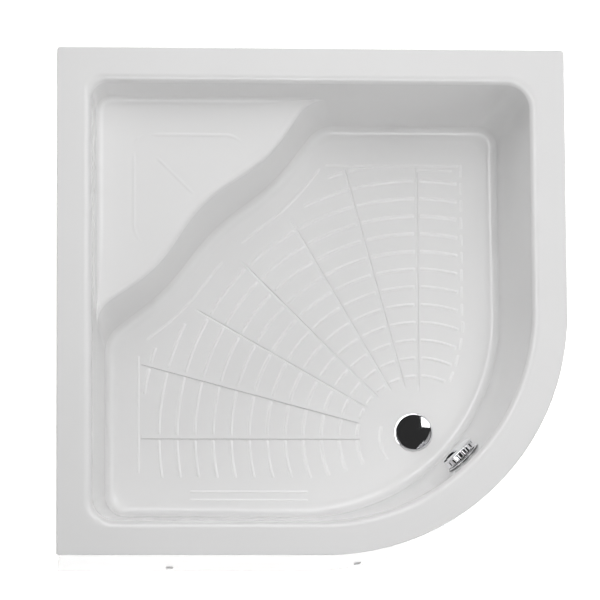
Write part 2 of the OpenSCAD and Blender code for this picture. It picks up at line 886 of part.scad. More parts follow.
// Lift lever: a shaft across the waste body, an arm under the stem and a crank outside
lever_arm = 18;
lever_drop = 50;
lever_z = floor_z - lever_drop;
lever_radius = 3;
lever_width = 4;
lever_swing = plug_lift / lever_arm * 180 / PI;
crank_length = 19;
crank_y = body_flange_radius;
wire_radius = 1.25;
boss_wall = 3;
boss_end = crank_y - lever_width;
stem_bottom_z = lever_z - lever_arm * sin(lever_swing / 2) + lever_radius + seat_gap;
module across(radius, from, to) {
  translate([0, from, 0])
    rotate([-90, 0, 0])
      cylinder(r = radius, h = to - from, $fn = 48);
}
module lift_lever() {
  color("silver")
    on_waste(lever_z)
      translate([lever_arm, 0, 0])
        rotate([0, -lever_swing / 2, 0]) {
          across(lever_radius, -lever_width, crank_y + lever_width);
          translate([-lever_arm, -lever_width, -lever_width / 2])
            cube([lever_arm, 2 * lever_width, lever_width]);
          translate([-lever_arm, 0, 0])
            across(lever_radius, -lever_width, lever_width);
          translate([-lever_radius, crank_y, 0])
            difference() {
              cube([2 * lever_radius, lever_width, crank_length + lever_radius]);
              translate([lever_radius, 0, crank_length])
                across(wire_radius, -cut, lever_width + cut);
            }
        }
}

// Waste body with its hose port, lever boss, cable stop and outlet
cable_y = crank_y + lever_width / 2;
cable_z = lever_z + crank_length;
stop_x = body_radius;
stop_thickness = 5;
stop_edge = 5;
stub_end = 76;
module towards_trap() {
  translate([waste_reach / sqrt(2), -waste_reach / sqrt(2), outlet_z])
    rotate([0, 0, -90])
      rotate([0, 90, 0])
        children();
}
module waste_body() {
  chamber_z = body_bottom_z + body_wall;
  shoulder_z = tail_bottom_z - tail_wall;
  color("gainsboro")
    difference() {
      union() {
        on_waste() {
          translate([0, 0, body_top_z - body_flange_thickness])
            cylinder(r = body_flange_radius, h = body_flange_thickness, $fn = 96);
          translate([0, 0, body_bottom_z])
            cylinder(r = body_radius, h = body_top_z - body_flange_thickness - body_bottom_z, $fn = 96);
          translate([0, 0, port_z])
            rotate([0, 90, 0]) {
              cylinder(r = collar_radius, h = collar_end, $fn = 64);
              cylinder(r = spigot_radius, h = collar_end + spigot_length, $fn = 64);
            }
          translate([lever_arm, 0, lever_z])
            across(lever_radius + boss_wall, lever_arm / 2, boss_end);
          translate([stop_x, 0, port_z - stop_edge])
            cube([stop_thickness, cable_y + stop_edge, cable_z - port_z + 2 * stop_edge]);
        }
        towards_trap()
          cylinder(r = outlet_radius, h = stub_end, $fn = 96);
      }
      on_waste() {
        translate([0, 0, shoulder_z])
          cylinder(r = tail_radius + fit_gap, h = basin_depth, $fn = 96);
        translate([0, 0, chamber_z])
          cylinder(r = chamber_radius, h = shoulder_z - chamber_z, $fn = 96);
        translate([0, 0, port_z])
          rotate([0, 90, 0])
            cylinder(r = spigot_radius - port_wall, h = collar_end + spigot_length + cut, $fn = 64);
        translate([lever_arm, 0, lever_z])
          across(lever_radius + running_gap, 0, boss_end + cut);
        translate([stop_x - cut, cable_y, cable_z])
          rotate([0, 90, 0])
            cylinder(r = wire_radius, h = stop_thickness + 2 * cut, $fn = 32);
      }
      towards_trap()
        cylinder(r = outlet_radius - body_wall, h = stub_end + cut, $fn = 96);
    }
}

// Pop-up plug
plug_radius = plug_diameter / 2;
plug_seal_z = flange_top_z + seat_gap;
plug_seal_thickness = 1.2;
plug_base_z = plug_seal_z + plug_seal_thickness;
plug_edge = 2;
plug_boss_radius = tail_bore - tail_clearance;
dome_radius = (plug_radius * plug_radius + plug_dome * plug_dome) / (2 * plug_dome);
module plug_cap() {
  color("silver")
    on_waste()
      difference() {
        union() {
          intersection() {
            translate([0, 0, plug_base_z])
              cylinder(r = plug_radius, h = plug_edge + plug_dome + cut, $fn = 128);
            translate([0, 0, plug_base_z + plug_edge + plug_dome - dome_radius])
              sphere(r = dome_radius, $fn = 256);
          }
          translate([0, 0, floor_z])
            cylinder(r = plug_boss_radius, h = plug_base_z - floor_z + cut, $fn = 96);
        }
        translate([0, 0, floor_z - cut])
          cylinder(r = stem_radius + fit_gap, h = plug_base_z - floor_z + cut, $fn = 64);
      }
}
module plug_seal() {
  color("dimgray")
    on_waste()
      ring_of(plug_radius - plug_edge, plug_boss_radius + fit_gap, plug_seal_z, plug_base_z);
}
module plug_stem() {
  color("silver")
    on_waste(stem_bottom_z)
      cylinder(r = stem_radius, h = plug_base_z - seat_gap - stem_bottom_z, $fn = 64);
}

// Trap beside the waste, with its outlet turned to the side wall
socket_wall = 4;
socket_radius = outlet_radius + fit_gap + socket_wall;
trap_offset = 130;
trap_radius = 38;
trap_wall = 3;
trap_bottom_z = 8;
trap_height = 76;
trap_top_z = trap_bottom_z + trap_height;
socket_start = 60;
nut_wall = 6;
nut_lip = 4;
nut_length = 20;
coupling_seal = 2;
outlet_socket = 66;
outlet_end = 150;
outlet_free = 60;
stop_width = 3;
stop_height = 2;
cap_skirt = 7;
cap_wall = 4;
baffle_gap = 14;
module at_trap() {
  translate([waste_reach / sqrt(2), -waste_reach / sqrt(2) - trap_offset, 0])
    children();
}
module out_of_trap() {
  at_trap()
    translate([0, 0, outlet_z])
      rotate([0, -90, 0])
        children();
}
module trap_bowl() {
  color("white")
    difference() {
      union() {
        at_trap()
          translate([0, 0, trap_bottom_z])
            cylinder(r = trap_radius, h = trap_top_z - trap_bottom_z, $fn = 96);
        towards_trap()
          translate([0, 0, socket_start])
            cylinder(r = socket_radius, h = trap_offset - socket_start, $fn = 96);
        out_of_trap()
          cylinder(r = socket_radius, h = outlet_socket, $fn = 96);
      }
      at_trap()
        translate([0, 0, trap_bottom_z + trap_wall])
          cylinder(r = trap_radius - trap_wall, h = trap_top_z, $fn = 96);
      towards_trap()
        translate([0, 0, socket_start - cut])
          cylinder(r = outlet_radius + fit_gap, h = trap_offset - socket_start, $fn = 96);
      out_of_trap()
        cylinder(r = outlet_radius + fit_gap, h = outlet_socket + cut, $fn = 96);
    }
}
module trap_insert() {
  width = 2 * (trap_radius - trap_wall - cut);
  low = trap_bottom_z + baffle_gap;
  color("gainsboro")
    at_trap()
      rotate([0, 0, -45])
        translate([-width / 2, -trap_wall / 2, low])
          cube([width, trap_wall, trap_top_z - low]);
}
module trap_cap() {
  outer = trap_radius + cap_wall;
  color("gainsboro")
    at_trap()
      difference() {
        translate([0, 0, trap_top_z - cap_skirt])
          cylinder(r = outer, h = cap_skirt + cap_wall, $fn = 96);
        translate([0, 0, trap_top_z - cap_skirt - cut])
          cylinder(r = trap_radius + fit_gap, h = cap_skirt + cut, $fn = 96);
      }
}
module coupling_nut() {
  difference() {
    cylinder(r = socket_radius + nut_wall, h = nut_length, $fn = 96);
    translate([0, 0, -cut])
      cylinder(r = outlet_radius + seat_gap, h = nut_length + 2 * cut, $fn = 96);
    translate([0, 0, nut_lip])
      cylinder(r = socket_radius + fit_gap, h = nut_length, $fn = 96);
  }
}
module coupling_places() {
  towards_trap()
    translate([0, 0, socket_start - coupling_seal - nut_lip])
      children();
  out_of_trap()
    translate([0, 0, outlet_socket + coupling_seal + nut_lip])
      rotate([180, 0, 0])
        children();
}
module coupling_nuts() {
  color("gainsboro")
    coupling_places()
      coupling_nut();
}
module coupling_seals() {
  color("dimgray")
    coupling_places()
      ring_of(socket_radius - fit_gap, outlet_radius + fit_gap, nut_lip, nut_lip + coupling_seal);
}
module outlet_pipe() {
  start = trap_radius + socket_wall;
  stop_end = outlet_end - outlet_free - seat_gap;
  color("gainsboro")
    out_of_trap() {
      ring_of(outlet_radius, outlet_radius - body_wall, start, outlet_end);
      ring_of(outlet_radius + stop_height, outlet_radius - cut, stop_end - stop_width, stop_end);
    }
}

// Overflow through the curved wall. Its ring stands clear of the hollow of the wall.
plate_radius = knob_diameter / 2 + 3;
plate_edge = 1.5;
wall_sag = plate_radius * plate_radius / (2 * floor_arc_radius) + seat_gap;
gasket_thickness = 0.8;
plate_back = wall_sag + gasket_thickness;
plate_front = plate_back + flange_thickness;
overflow_tail = overflow_hole / 2 - tail_wall;
overflow_bore = overflow_tail - tail_wall;
rear_seal_front = -glass_bottom - seat_gap;
rear_seal_back = rear_seal_front - 2.5;
cup_depth = 32;
body_back = rear_seal_back - cup_depth;
cup_radius = overflow_hole / 2 + 4;
cup_flange = 8;
overflow_tail_length = 10;
tail_end = rear_seal_back - overflow_tail_length;
knob_gap = 3;
knob_back = plate_front + knob_gap;
knob_radius = knob_diameter / 2;
knob_wall = 5;
knob_bevel = 2.5;
knob_dish = 8;
flute_radius = 3;
flute_depth = 1.2;
module overflow_faceplate() {
  color("silver")
    at_overflow() {
      rotate_extrude($fn = 128)
        polygon([
          [overflow_bore, tail_end], [overflow_tail, tail_end], [overflow_tail, plate_back],
          [plate_radius - flange_edge, plate_back], [plate_radius, plate_back + flange_edge],
          [plate_radius - plate_edge, plate_front], [overflow_bore, plate_front]
        ]);
      spider(overflow_bore + tail_wall / 2, -arm_width);
    }
}
module overflow_gasket() {
  color("dimgray")
    at_overflow()
      ring_of(plate_radius - plate_edge, overflow_hole / 2 + cut, wall_sag, plate_back);
}
module overflow_seal() {
  color("dimgray")
    at_overflow()
      ring_of(cup_radius + cup_flange - cut, overflow_hole / 2 + cut, rear_seal_back, rear_seal_front);
}
module overflow_knob() {
  band = knob_thickness - knob_gap;
  bore_depth = knob_thickness - knob_wall + cut;
  color("silver")
    at_overflow()
      translate([0, 0, knob_back])
        difference() {
          union() {
            linear_extrude(band)
              difference() {
                circle(r = knob_radius, $fn = 128);
                circle(r = knob_radius - knob_wall, $fn = 128);
                for (i = [0:flute_count - 1])
                  rotate([0, 0, 360 * i / flute_count])
                    translate([knob_radius + flute_radius - flute_depth, 0])
                      circle(r = flute_radius, $fn = 32);
              }
            rotate_extrude($fn = 128)
              polygon([
                [0, 0], [hub_radius, 0], [hub_radius, band - plate_edge],
                [knob_radius - knob_wall, band - plate_edge], [knob_radius - knob_wall, band],
                [knob_radius, band], [knob_radius - knob_bevel, knob_thickness - cut],
                [knob_radius - knob_dish, knob_thickness], [0, knob_thickness]
              ]);
          }
          translate([0, 0, -cut])
            cylinder(r = stem_radius + fit_gap, h = bore_depth + cut, $fn = 64);
        }
}
drum_radius = 13;
drum_width = 6;
drum_groove = 2;
module knob_spindle() {
  low = body_back + 2 * body_wall;
  high = knob_back + knob_thickness - knob_wall;
  color("silver")
    at_overflow() {
      translate([0, 0, low])
        cylinder(r = stem_radius, h = high - low, $fn = 64);
      translate([0, 0, tail_end - arm_width - drum_width])
        rotate_extrude($fn = 96)
          polygon([
            [0, 0], [drum_radius, 0], [drum_radius - drum_groove, drum_width / 2],
            [drum_radius, drum_width], [0, drum_width]
          ]);
    }
}
hose_stand_off = 20;
hose_reach = overflow_reach + cos(front_lean) * (glass_bottom + hose_stand_off) - waste_reach;
port_drop = 47;
collar_top = 16;
gland_y = 25;
module overflow_body() {
  color("gainsboro")
    difference() {
      union() {
        at_overflow() {
          translate([0, 0, rear_seal_back - body_flange_thickness])
            cylinder(r = cup_radius + cup_flange, h = body_flange_thickness, $fn = 96);
          translate([0, 0, body_back])
            cylinder(r = cup_radius, h = cup_depth, $fn = 96);
        }
        on_waste(overflow_z)
          translate([hose_reach, 0, -port_drop]) {
            cylinder(r = collar_radius, h = port_drop - collar_top, $fn = 64);
            translate([0, 0, -spigot_length])
              cylinder(r = spigot_radius, h = port_drop, $fn = 64);
            translate([0, gland_y, 0])
              cylinder(r = cable_diameter, h = port_drop - collar_top + body_wall, $fn = 48);
          }
      }
      at_overflow() {
        translate([0, 0, tail_end - cut])
          cylinder(r = overflow_tail + fit_gap, h = cup_depth, $fn = 96);
        translate([0, 0, body_back + body_wall])
          cylinder(r = cup_radius - body_wall, h = tail_end - cut - body_back - body_wall, $fn = 96);
      }
      on_waste(overflow_z)
        translate([hose_reach, 0, -port_drop]) {
          translate([0, 0, -spigot_length - cut])
            cylinder(r = spigot_radius - port_wall, h = port_drop + body_wall, $fn = 64);
          translate([0, gland_y, -cut])
            cylinder(r = wire_radius, h = port_drop - collar_top + body_wall, $fn = 32);
        }
    }
}

// Ribbed hose from the overflow down and round to the waste
hose_bend = 55;
hose_top = overflow_z - port_drop - seat_gap;
hose_end = collar_end + seat_gap;
hose_down = hose_top - port_z - hose_bend;
hose_turn = hose_bend * PI / 2;
hose_out = hose_reach - hose_bend - hose_end;
hose_length = hose_down + hose_turn + hose_out;
hose_sides = 8;
hose_bore = (spigot_radius + fit_gap) / cos(180 / hose_sides);
hose_wall = 1;
hose_valley = hose_bore + hose_wall;
// Point and direction of the hose at a distance from its upper end, in the diagonal plane
function hose_at(s) =
  s < hose_down ? [hose_reach, hose_top - s, 0] :
  s > hose_down + hose_turn ? [hose_reach - hose_bend - (s - hose_down - hose_turn), port_z, 90] :
  let (a = (s - hose_down) / hose_bend * 180 / PI)
  [hose_reach - hose_bend * (1 - cos(a)), port_z + hose_bend * (1 - sin(a)), a];
function hose_ring(s, r) =
  let (p = hose_at(s))
  [for (i = [0:hose_sides - 1])
    let (b = 360 * (i + 0.5) / hose_sides)
    [p[0] + r * cos(b) * cos(p[2]), r * sin(b), p[1] - r * cos(b) * sin(p[2])]];
// A closed tube through rings that come back to the first one
module loop_skin(rings) {
  n = len(rings[0]);
  m = len(rings);
  polyhedron(
    points = [for (r = rings) each r],
    faces = [for (k = [0:m - 1], j = [0:n - 1])
      let (
        a = k * n + j, b = k * n + (j + 1) % n,
        c = ((k + 1) % m) * n + j, d = ((k + 1) % m) * n + (j + 1) % n
      )
      each [[a, b, c], [b, d, c]]],
    convexity = 10
  );
}
module overflow_hose() {
  ribs = round(hose_length / hose_pitch);
  step = hose_length / ribs;
  outer = [for (i = [0:2 * ribs]) hose_ring(i * step / 2, i % 2 == 0 ? hose_valley : hose_diameter / 2)];
  inner = [for (i = [ribs:-1:0]) hose_ring(i * step, hose_bore)];
  color("gainsboro")
    on_waste()
      loop_skin(concat(outer, inner));
}
hose_nut_wall = 3;
hose_nut_length = 22;
collar_part = 6;
module hose_nut() {
  difference() {
    translate([0, 0, -collar_part])
      cylinder(r = collar_radius + hose_nut_wall, h = hose_nut_length, $fn = 96);
    translate([0, 0, -collar_part - cut])
      cylinder(r = collar_radius + fit_gap, h = collar_part + cut, $fn = 96);
    cylinder(r = hose_diameter / 2 + seat_gap, h = hose_nut_length, $fn = 96);
  }
}
module hose_nuts() {
  color("gainsboro")
    on_waste() {
      translate([collar_end, 0, port_z])
        rotate([0, 90, 0])
          hose_nut();
      translate([hose_reach, 0, overflow_z - port_drop])
        rotate([180, 0, 0])
          hose_nut();
    }
}

// Control cable from the overflow down to the lever, on hand-set points along the diagonal
cable_points = [
  [stop_x + stop_thickness + seat_gap, cable_y, cable_z],
  [65, cable_y, cable_z],
  [92, 37, cable_z + 3],
  [114, 33, cable_z + 16],
  [124, 30, cable_z + 45],
  [hose_reach, 27, cable_z + 90],
  [hose_reach, gland_y, cable_z + 135],
  [hose_reach, gland_y, overflow_z - port_drop - seat_gap]
];
cable_sides = 8;
cable_steps = 5;
function curve_point(p, i, t) =
  let (a = p[max(i - 1, 0)], b = p[i], c = p[i + 1], d = p[min(i + 2, len(p) - 1)])
  0.5 * (2 * b + (c - a) * t + (2 * a - 5 * b + 4 * c - d) * t * t + (3 * b - a - 3 * c + d) * t * t * t);
function unit(v) = v / norm(v);
cable_line = [
  for (i = [0:len(cable_points) - 2], k = [0:cable_steps - 1])
    curve_point(cable_points, i, k / cable_steps),
  cable_points[len(cable_points) - 1]
];
module control_cable() {
  n = len(cable_line);
  rings = [for (i = [0:n - 1])
    let (
      along = i == 0 ? [1, 0, 0] : i == n - 1 ? [0, 0, 1] : unit(cable_line[i + 1] - cable_line[i - 1]),
      side = unit(cross(along, [0, -1, 0])),
      up = cross(side, along)
    )
    [for (j = [0:cable_sides - 1])
      let (b = 360 * j / cable_sides)
      cable_line[i] + cable_diameter / 2 * (cos(b) * side + sin(b) * up)]];
  color("dimgray")
    on_waste()
      polyhedron(
        points = [for (r = rings) each r],
        faces = concat(
          [for (k = [0:n - 2], j = [0:cable_sides - 1])
            let (
              a = k * cable_sides + j, b = k * cable_sides + (j + 1) % cable_sides,
              c = a + cable_sides, d = b + cable_sides
            )
            each [[a, b, c], [b, d, c]]],
          [[for (j = [cable_sides - 1:-1:0]) j]],
          [[for (j = [0:cable_sides - 1]) (n - 1) * cable_sides + j]]
        ),
        convexity = 6
      );
}

tub_shell();
fibreglass_backing();
base_board();
seat_board();
rim_battens();
frame_rails();
frame_cross_tubes();
rim_posts();
frame_nuts();
lock_nuts();
frame_screws();
post_screws();
front_panel();
panel_brackets();
panel_screws();
foot_bolt_1();
foot_bolt_2();
foot_bolt_3();
foot_bolt_4();
foot_bolt_5();
foot_pad_1();
foot_pad_2();
foot_pad_3();
foot_pad_4();
foot_pad_5();
waste_flange();
upper_waste_seal();
lower_waste_seal();
waste_body();
plug_cap();
plug_seal();
plug_stem();
lift_lever();
trap_bowl();
trap_insert();
trap_cap();
coupling_nuts();
coupling_seals();
outlet_pipe();
overflow_faceplate();
overflow_gasket();
overflow_seal();
overflow_body();
overflow_knob();
knob_spindle();
overflow_hose();
hose_nuts();
control_cable();
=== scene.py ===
import bpy
import math
from mathutils import Matrix, Vector


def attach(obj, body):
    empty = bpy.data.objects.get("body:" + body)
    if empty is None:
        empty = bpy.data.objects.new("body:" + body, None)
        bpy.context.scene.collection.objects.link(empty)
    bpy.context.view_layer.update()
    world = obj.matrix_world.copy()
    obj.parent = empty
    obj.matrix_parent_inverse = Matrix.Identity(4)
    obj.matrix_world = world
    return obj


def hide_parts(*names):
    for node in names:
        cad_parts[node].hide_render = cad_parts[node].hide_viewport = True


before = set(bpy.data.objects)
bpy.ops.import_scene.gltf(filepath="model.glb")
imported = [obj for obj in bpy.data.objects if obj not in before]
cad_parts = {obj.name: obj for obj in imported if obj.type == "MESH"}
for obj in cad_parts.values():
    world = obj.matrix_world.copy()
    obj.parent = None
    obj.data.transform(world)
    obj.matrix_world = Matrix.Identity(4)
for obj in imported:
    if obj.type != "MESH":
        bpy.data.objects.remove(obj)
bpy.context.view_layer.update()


# Materials
FINER = 2.3  # how much finer the pattern of the roughness is than that of the colour


def noise(nodes, link, source, scale, detail):
    """The output of a noise pattern over some coordinates."""
    made = nodes.new("ShaderNodeTexNoise")
    made.inputs["Scale"].default_value = scale
    made.inputs["Detail"].default_value = detail
    link.new(source, made.inputs["Vector"])
    return made.outputs["Fac"]


def paint(name, colour, other, rough, metal=0.0, scale=40.0, rough_span=0.06, bump=0.0,
          bump_scale=200.0, detail=4.0, stretch=None, specular=0.5, sharp=False):
    """A material that drifts between two colours and two roughnesses over the object's own coordinates."""
    look = bpy.data.materials.new(name)
    look.use_nodes = True
    nodes, link = look.node_tree.nodes, look.node_tree.links
    base = nodes["Principled BSDF"]
    source = nodes.new("ShaderNodeTexCoord").outputs["Object"]
    if stretch:
        mapping = nodes.new("ShaderNodeMapping")
        mapping.inputs["Scale"].default_value = stretch
        link.new(source, mapping.inputs["Vector"])
        source = mapping.outputs["Vector"]
    blend = nodes.new("ShaderNodeValToRGB")
    half_blend = 0.08 if sharp else 0.2
    blend.color_ramp.elements[0].position = 0.5 - half_blend
    blend.color_ramp.elements[1].position = 0.5 + half_blend
    blend.color_ramp.elements[0].color = (*colour, 1)
    blend.color_ramp.elements[1].color = (*other, 1)
    link.new(noise(nodes, link, source, scale, detail), blend.inputs["Fac"])
    link.new(blend.outputs["Color"], base.inputs["Base Color"])
    span = nodes.new("ShaderNodeMapRange")
    span.inputs["To Min"].default_value = max(0.02, rough - rough_span / 2)
    span.inputs["To Max"].default_value = rough + rough_span / 2
    link.new(noise(nodes, link, source, scale * FINER, 2.0), span.inputs["Value"])
    link.new(span.outputs["Result"], base.inputs["Roughness"])
    base.inputs["Metallic"].default_value = metal
    base.inputs["Specular IOR Level"].default_value = specular
    if bump:
        lift = nodes.new("ShaderNodeBump")
        lift.inputs["Strength"].default_value = 1.0
        lift.inputs["Distance"].default_value = bump
        link.new(noise(nodes, link, source, bump_scale, 3.0), lift.inputs["Height"])
        link.new(lift.outputs["Normal"], base.inputs["Normal"])
    return look


ACRYLIC = paint("white_acrylic", (0.780, 0.778, 0.778), (0.790, 0.788, 0.788), 0.12, scale=5.0,
                rough_span=0.03)
# The ribs are the same acrylic painted a lighter white: a painted highlight for the bright lines that light
# draws along them
RIBS_PAINTED_HIGHLIGHT = paint("rib_acrylic_painted_highlight", (0.835, 0.833, 0.833), (0.845, 0.843, 0.843), 0.12, scale=5.0,
                  rough_span=0.03)
PANEL = paint("panel_acrylic", (0.790, 0.788, 0.788), (0.800, 0.798, 0.798), 0.16, scale=6.0,
              rough_span=0.04)
CAP = paint("cover_caps", (0.785, 0.783, 0.783), (0.800, 0.798, 0.798), 0.45, scale=60.0)
GLASS = paint("fibreglass", (0.44, 0.41, 0.30), (0.62, 0.58, 0.45), 0.5, scale=26.0, rough_span=0.25,
              bump=0.0012, bump_scale=70.0, detail=9.0)
BOARD = paint("chipboard", (0.36, 0.25, 0.14), (0.56, 0.42, 0.26), 0.75, scale=260.0, rough_span=0.15,
              bump=0.0003, bump_scale=420.0, detail=6.0, sharp=True)
TIMBER = paint("sawn_timber", (0.45, 0.31, 0.17), (0.62, 0.46, 0.28), 0.65, scale=22.0, rough_span=0.15,
               bump=0.0003, bump_scale=160.0, detail=7.0, stretch=(1.0, 1.0, 7.0))
STEEL = paint("zinc_steel", (0.40, 0.42, 0.44), (0.56, 0.58, 0.60), 0.36, metal=1.0, scale=55.0,
              rough_span=0.16, bump=0.00005, bump_scale=300.0, detail=6.0)
WELD = paint("weld_metal", (0.20, 0.20, 0.21), (0.38, 0.38, 0.38), 0.42, metal=1.0, scale=180.0,
             rough_span=0.2, bump=0.0002, bump_scale=500.0)
BOLT = paint("zinc_bolts", (0.50, 0.50, 0.47), (0.66, 0.66, 0.62), 0.28, metal=1.0, scale=120.0,
             rough_span=0.12)
CHROME = paint("chrome", (0.80, 0.80, 0.82), (0.84, 0.84, 0.86), 0.05, metal=1.0, scale=30.0, rough_span=0.03)
PLASTIC = paint("waste_plastic", (0.66, 0.66, 0.63), (0.72, 0.72, 0.69), 0.34, scale=30.0, rough_span=0.12,
                bump=0.00004, bump_scale=500.0)
HOSE = paint("hose_plastic", (0.42, 0.43, 0.44), (0.50, 0.51, 0.52), 0.4, scale=40.0, rough_span=0.12)
RUBBER = paint("rubber", (0.018, 0.018, 0.02), (0.035, 0.035, 0.037), 0.6, scale=80.0, rough_span=0.2,
               bump=0.00005, bump_scale=600.0)
FOOT = paint("foot_plastic", (0.40, 0.41, 0.42), (0.45, 0.46, 0.47), 0.5, scale=70.0, rough_span=0.2,
             bump=0.0001, bump_scale=500.0)
CABLE = paint("cable_sheath", (0.025, 0.026, 0.028), (0.05, 0.05, 0.053), 0.38, scale=90.0, rough_span=0.15)
GROUND = paint("studio_floor", (0.93, 0.93, 0.93), (0.94, 0.94, 0.94), 0.9, scale=2.0, specular=0.1)

MADE_OF = (
    (ACRYLIC, "tub_shell"),
    (GLASS, "fibreglass_backing"),
    (BOARD, "base_board seat_board"),
    (TIMBER, "rim_battens"),
    (STEEL, "frame_rails frame_cross_tubes rim_posts panel_brackets"),
    (BOLT, "frame_nuts lock_nuts frame_screws post_screws lift_lever knob_spindle"),
    (PANEL, "front_panel"),
    (CAP, "panel_screws"),
    (CHROME, "waste_flange plug_cap plug_stem overflow_faceplate overflow_knob"),
    (RUBBER, "upper_waste_seal lower_waste_seal plug_seal coupling_seals overflow_gasket overflow_seal"),
    (PLASTIC, "waste_body trap_bowl trap_insert trap_cap coupling_nuts outlet_pipe overflow_body hose_nuts"),
    (HOSE, "overflow_hose"),
    (CABLE, "control_cable"),
)
LOOKS = {node: look for look, nodes in MADE_OF for node in nodes.split()}
for node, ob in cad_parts.items():
    look = LOOKS.get(node) or (BOLT if node.startswith("foot_bolt") else FOOT)
    ob.data.materials.clear()
    ob.data.materials.append(look)


# Angles in degrees and lengths in millimetres, as in the tub's CAD source
def sin(a):
    return math.sin(math.radians(a))


def cos(a):
    return math.cos(math.radians(a))


def mix(a, b, t):
    return a + (b - a) * t


def ramp(t):
    """A soft step that rises from 0 to 1."""
    t = min(max(t, 0), 1)
    return t * t * (3 - 2 * t)


def moved(x, y, z):
    return Matrix.Translation((x / 1000, y / 1000, z / 1000))


def turned(a, axis):
    return Matrix.Rotation(math.radians(a), 4, axis)


# Mesh helpers. They take millimetres and make objects in metres.
def piece(name, verts, faces, look, body, nodes, finish, angle=35.0, place=None):
    """A piece of the scene that rides a body and takes the place of nodes."""
    me = bpy.data.meshes.new(name)
    me.from_pydata([(v[0] / 1000, v[1] / 1000, v[2] / 1000) for v in verts], [], faces)
    if place is not None:
        me.transform(place)
    me.validate()
    me.materials.append(look)
    ob = bpy.data.objects.new(name, me)
    bpy.context.scene.collection.objects.link(ob)
    for p in me.polygons:
        p.use_smooth = True
    me.set_sharp_from_angle(angle=math.radians(angle))
    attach(ob, body)
    if nodes:
        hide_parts(*nodes)
    return ob


def tube_faces(m, n, closed_rows=False):
    """Quads between m rings of n points each."""
    rows = m if closed_rows else m - 1
    return [(k * n + j, k * n + (j + 1) % n, (k + 1) % m * n + (j + 1) % n, (k + 1) % m * n + j)
            for k in range(rows) for j in range(n)]


def flip(faces):
    return [tuple(reversed(f)) for f in faces]


def outward(verts, faces):
    """The faces of a closed mesh, turned so that they look outwards."""
    total = 0.0
    for f in faces:
        a = verts[f[0]]
        for i in range(1, len(f) - 1):
            b, c = verts[f[i]], verts[f[i + 1]]
            total += (a[0] * (b[1] * c[2] - b[2] * c[1]) + a[1] * (b[2] * c[0] - b[0] * c[2])
                      + a[2] * (b[0] * c[1] - b[1] * c[0]))
    return faces if total > 0 else flip(faces)


def weigh(ob):
    """Flat areas keep flat shading right up to their rounded borders."""
    normals = ob.modifiers.new("normals", "WEIGHTED_NORMAL")
    normals.weight = 100
    normals.keep_sharp = True


def add(verts, faces, more, place=None):
    """Adds a mesh of points and faces, moved by a matrix in millimetres if one is given."""
    start = len(verts)
    points = [tuple(place @ Vector(v)) for v in more[0]] if place else more[0]
    verts.extend(points)
    faces.extend(tuple(i + start for i in f) for f in more[1])


def in_mm(place):
    """The same placement with its shift in millimetres."""
    m = place.copy()
    m.translation = place.translation * 1000
    return m


def bend(a, b, c, t):
    """A point on the curve that leaves a towards b and comes to c."""
    return tuple((1 - t) ** 2 * p + 2 * t * (1 - t) * q + t * t * r for p, q, r in zip(a, b, c))


def soften(points, radius, steps=4):
    """Rounds the corners of a closed profile."""
    out, n = [], len(points)
    for i, p in enumerate(points):
        a, b = points[i - 1], points[(i + 1) % n]
        if p[0] <= 0:
            out.append(p)
            continue
        da, db = math.hypot(a[0] - p[0], a[1] - p[1]), math.hypot(b[0] - p[0], b[1] - p[1])
        k = min(radius, da * 0.45, db * 0.45)
        first = (p[0] + (a[0] - p[0]) * k / da, p[1] + (a[1] - p[1]) * k / da)
        last = (p[0] + (b[0] - p[0]) * k / db, p[1] + (b[1] - p[1]) * k / db)
        out += [bend(first, p, last, j / steps) for j in range(steps + 1)]
    return out


def lathe(profile, n=96, shape=None):
    """Turns a closed profile of (radius, height) round the Z axis.

    shape can vary the radius with the height and the angle.
    """
    verts, rows = [], []
    for r, z in profile:
        if r <= 0:
            rows.append([len(verts)] * n)
            verts.append((0, 0, z))
            continue
        rows.append(list(range(len(verts), len(verts) + n)))
        for j in range(n):
            a = 360 * j / n
            q = shape(r, z, a) if shape else r
            verts.append((q * cos(a), q * sin(a), z))
    faces, m = [], len(rows)
    for k in range(m):
        lo, hi = rows[k], rows[(k + 1) % m]
        for j in range(n):
            f = [lo[j], lo[(j + 1) % n], hi[(j + 1) % n], hi[j]]
            f = [v for i, v in enumerate(f) if v != f[i - 1]]
            if len(set(f)) > 2:
                faces.append(tuple(f))
    return verts, outward(verts, faces)


def block(lo, hi, turn=0.0):
    """A box between two corners, turned about Z."""
    verts = []
    for z in (lo[2], hi[2]):
        for x, y in ((lo[0], lo[1]), (hi[0], lo[1]), (hi[0], hi[1]), (lo[0], hi[1])):
            verts.append((x * cos(turn) - y * sin(turn), x * sin(turn) + y * cos(turn), z))
    return verts, [(3, 2, 1, 0), (4, 5, 6, 7), (0, 1, 5, 4), (1, 2, 6, 5), (2, 3, 7, 6), (3, 0, 4, 7)]


def tube(path, radius, n=16):
    """A solid tube along a path. radius can be a number or a function of the point's number."""
    verts, m = [], len(path)
    side = None
    for i, p in enumerate(path):
        a, b = Vector(path[max(i - 1, 0)]), Vector(path[min(i + 1, m - 1)])
        along = (b - a).normalized()
        if side is None:
            side = along.cross(Vector((0, 0, 1) if abs(along.z) < 0.9 else (0, 1, 0))).normalized()
        side = (side - along * side.dot(along)).normalized()
        up = along.cross(side)
        r = radius(i) if callable(radius) else radius
        for j in range(n):
            q = Vector(p) + side * (r * cos(360 * j / n)) + up * (r * sin(360 * j / n))
            verts.append(tuple(q))
    faces = tube_faces(m, n) + [tuple(range(n - 1, -1, -1)), tuple(range((m - 1) * n, m * n))]
    return verts, outward(verts, faces)


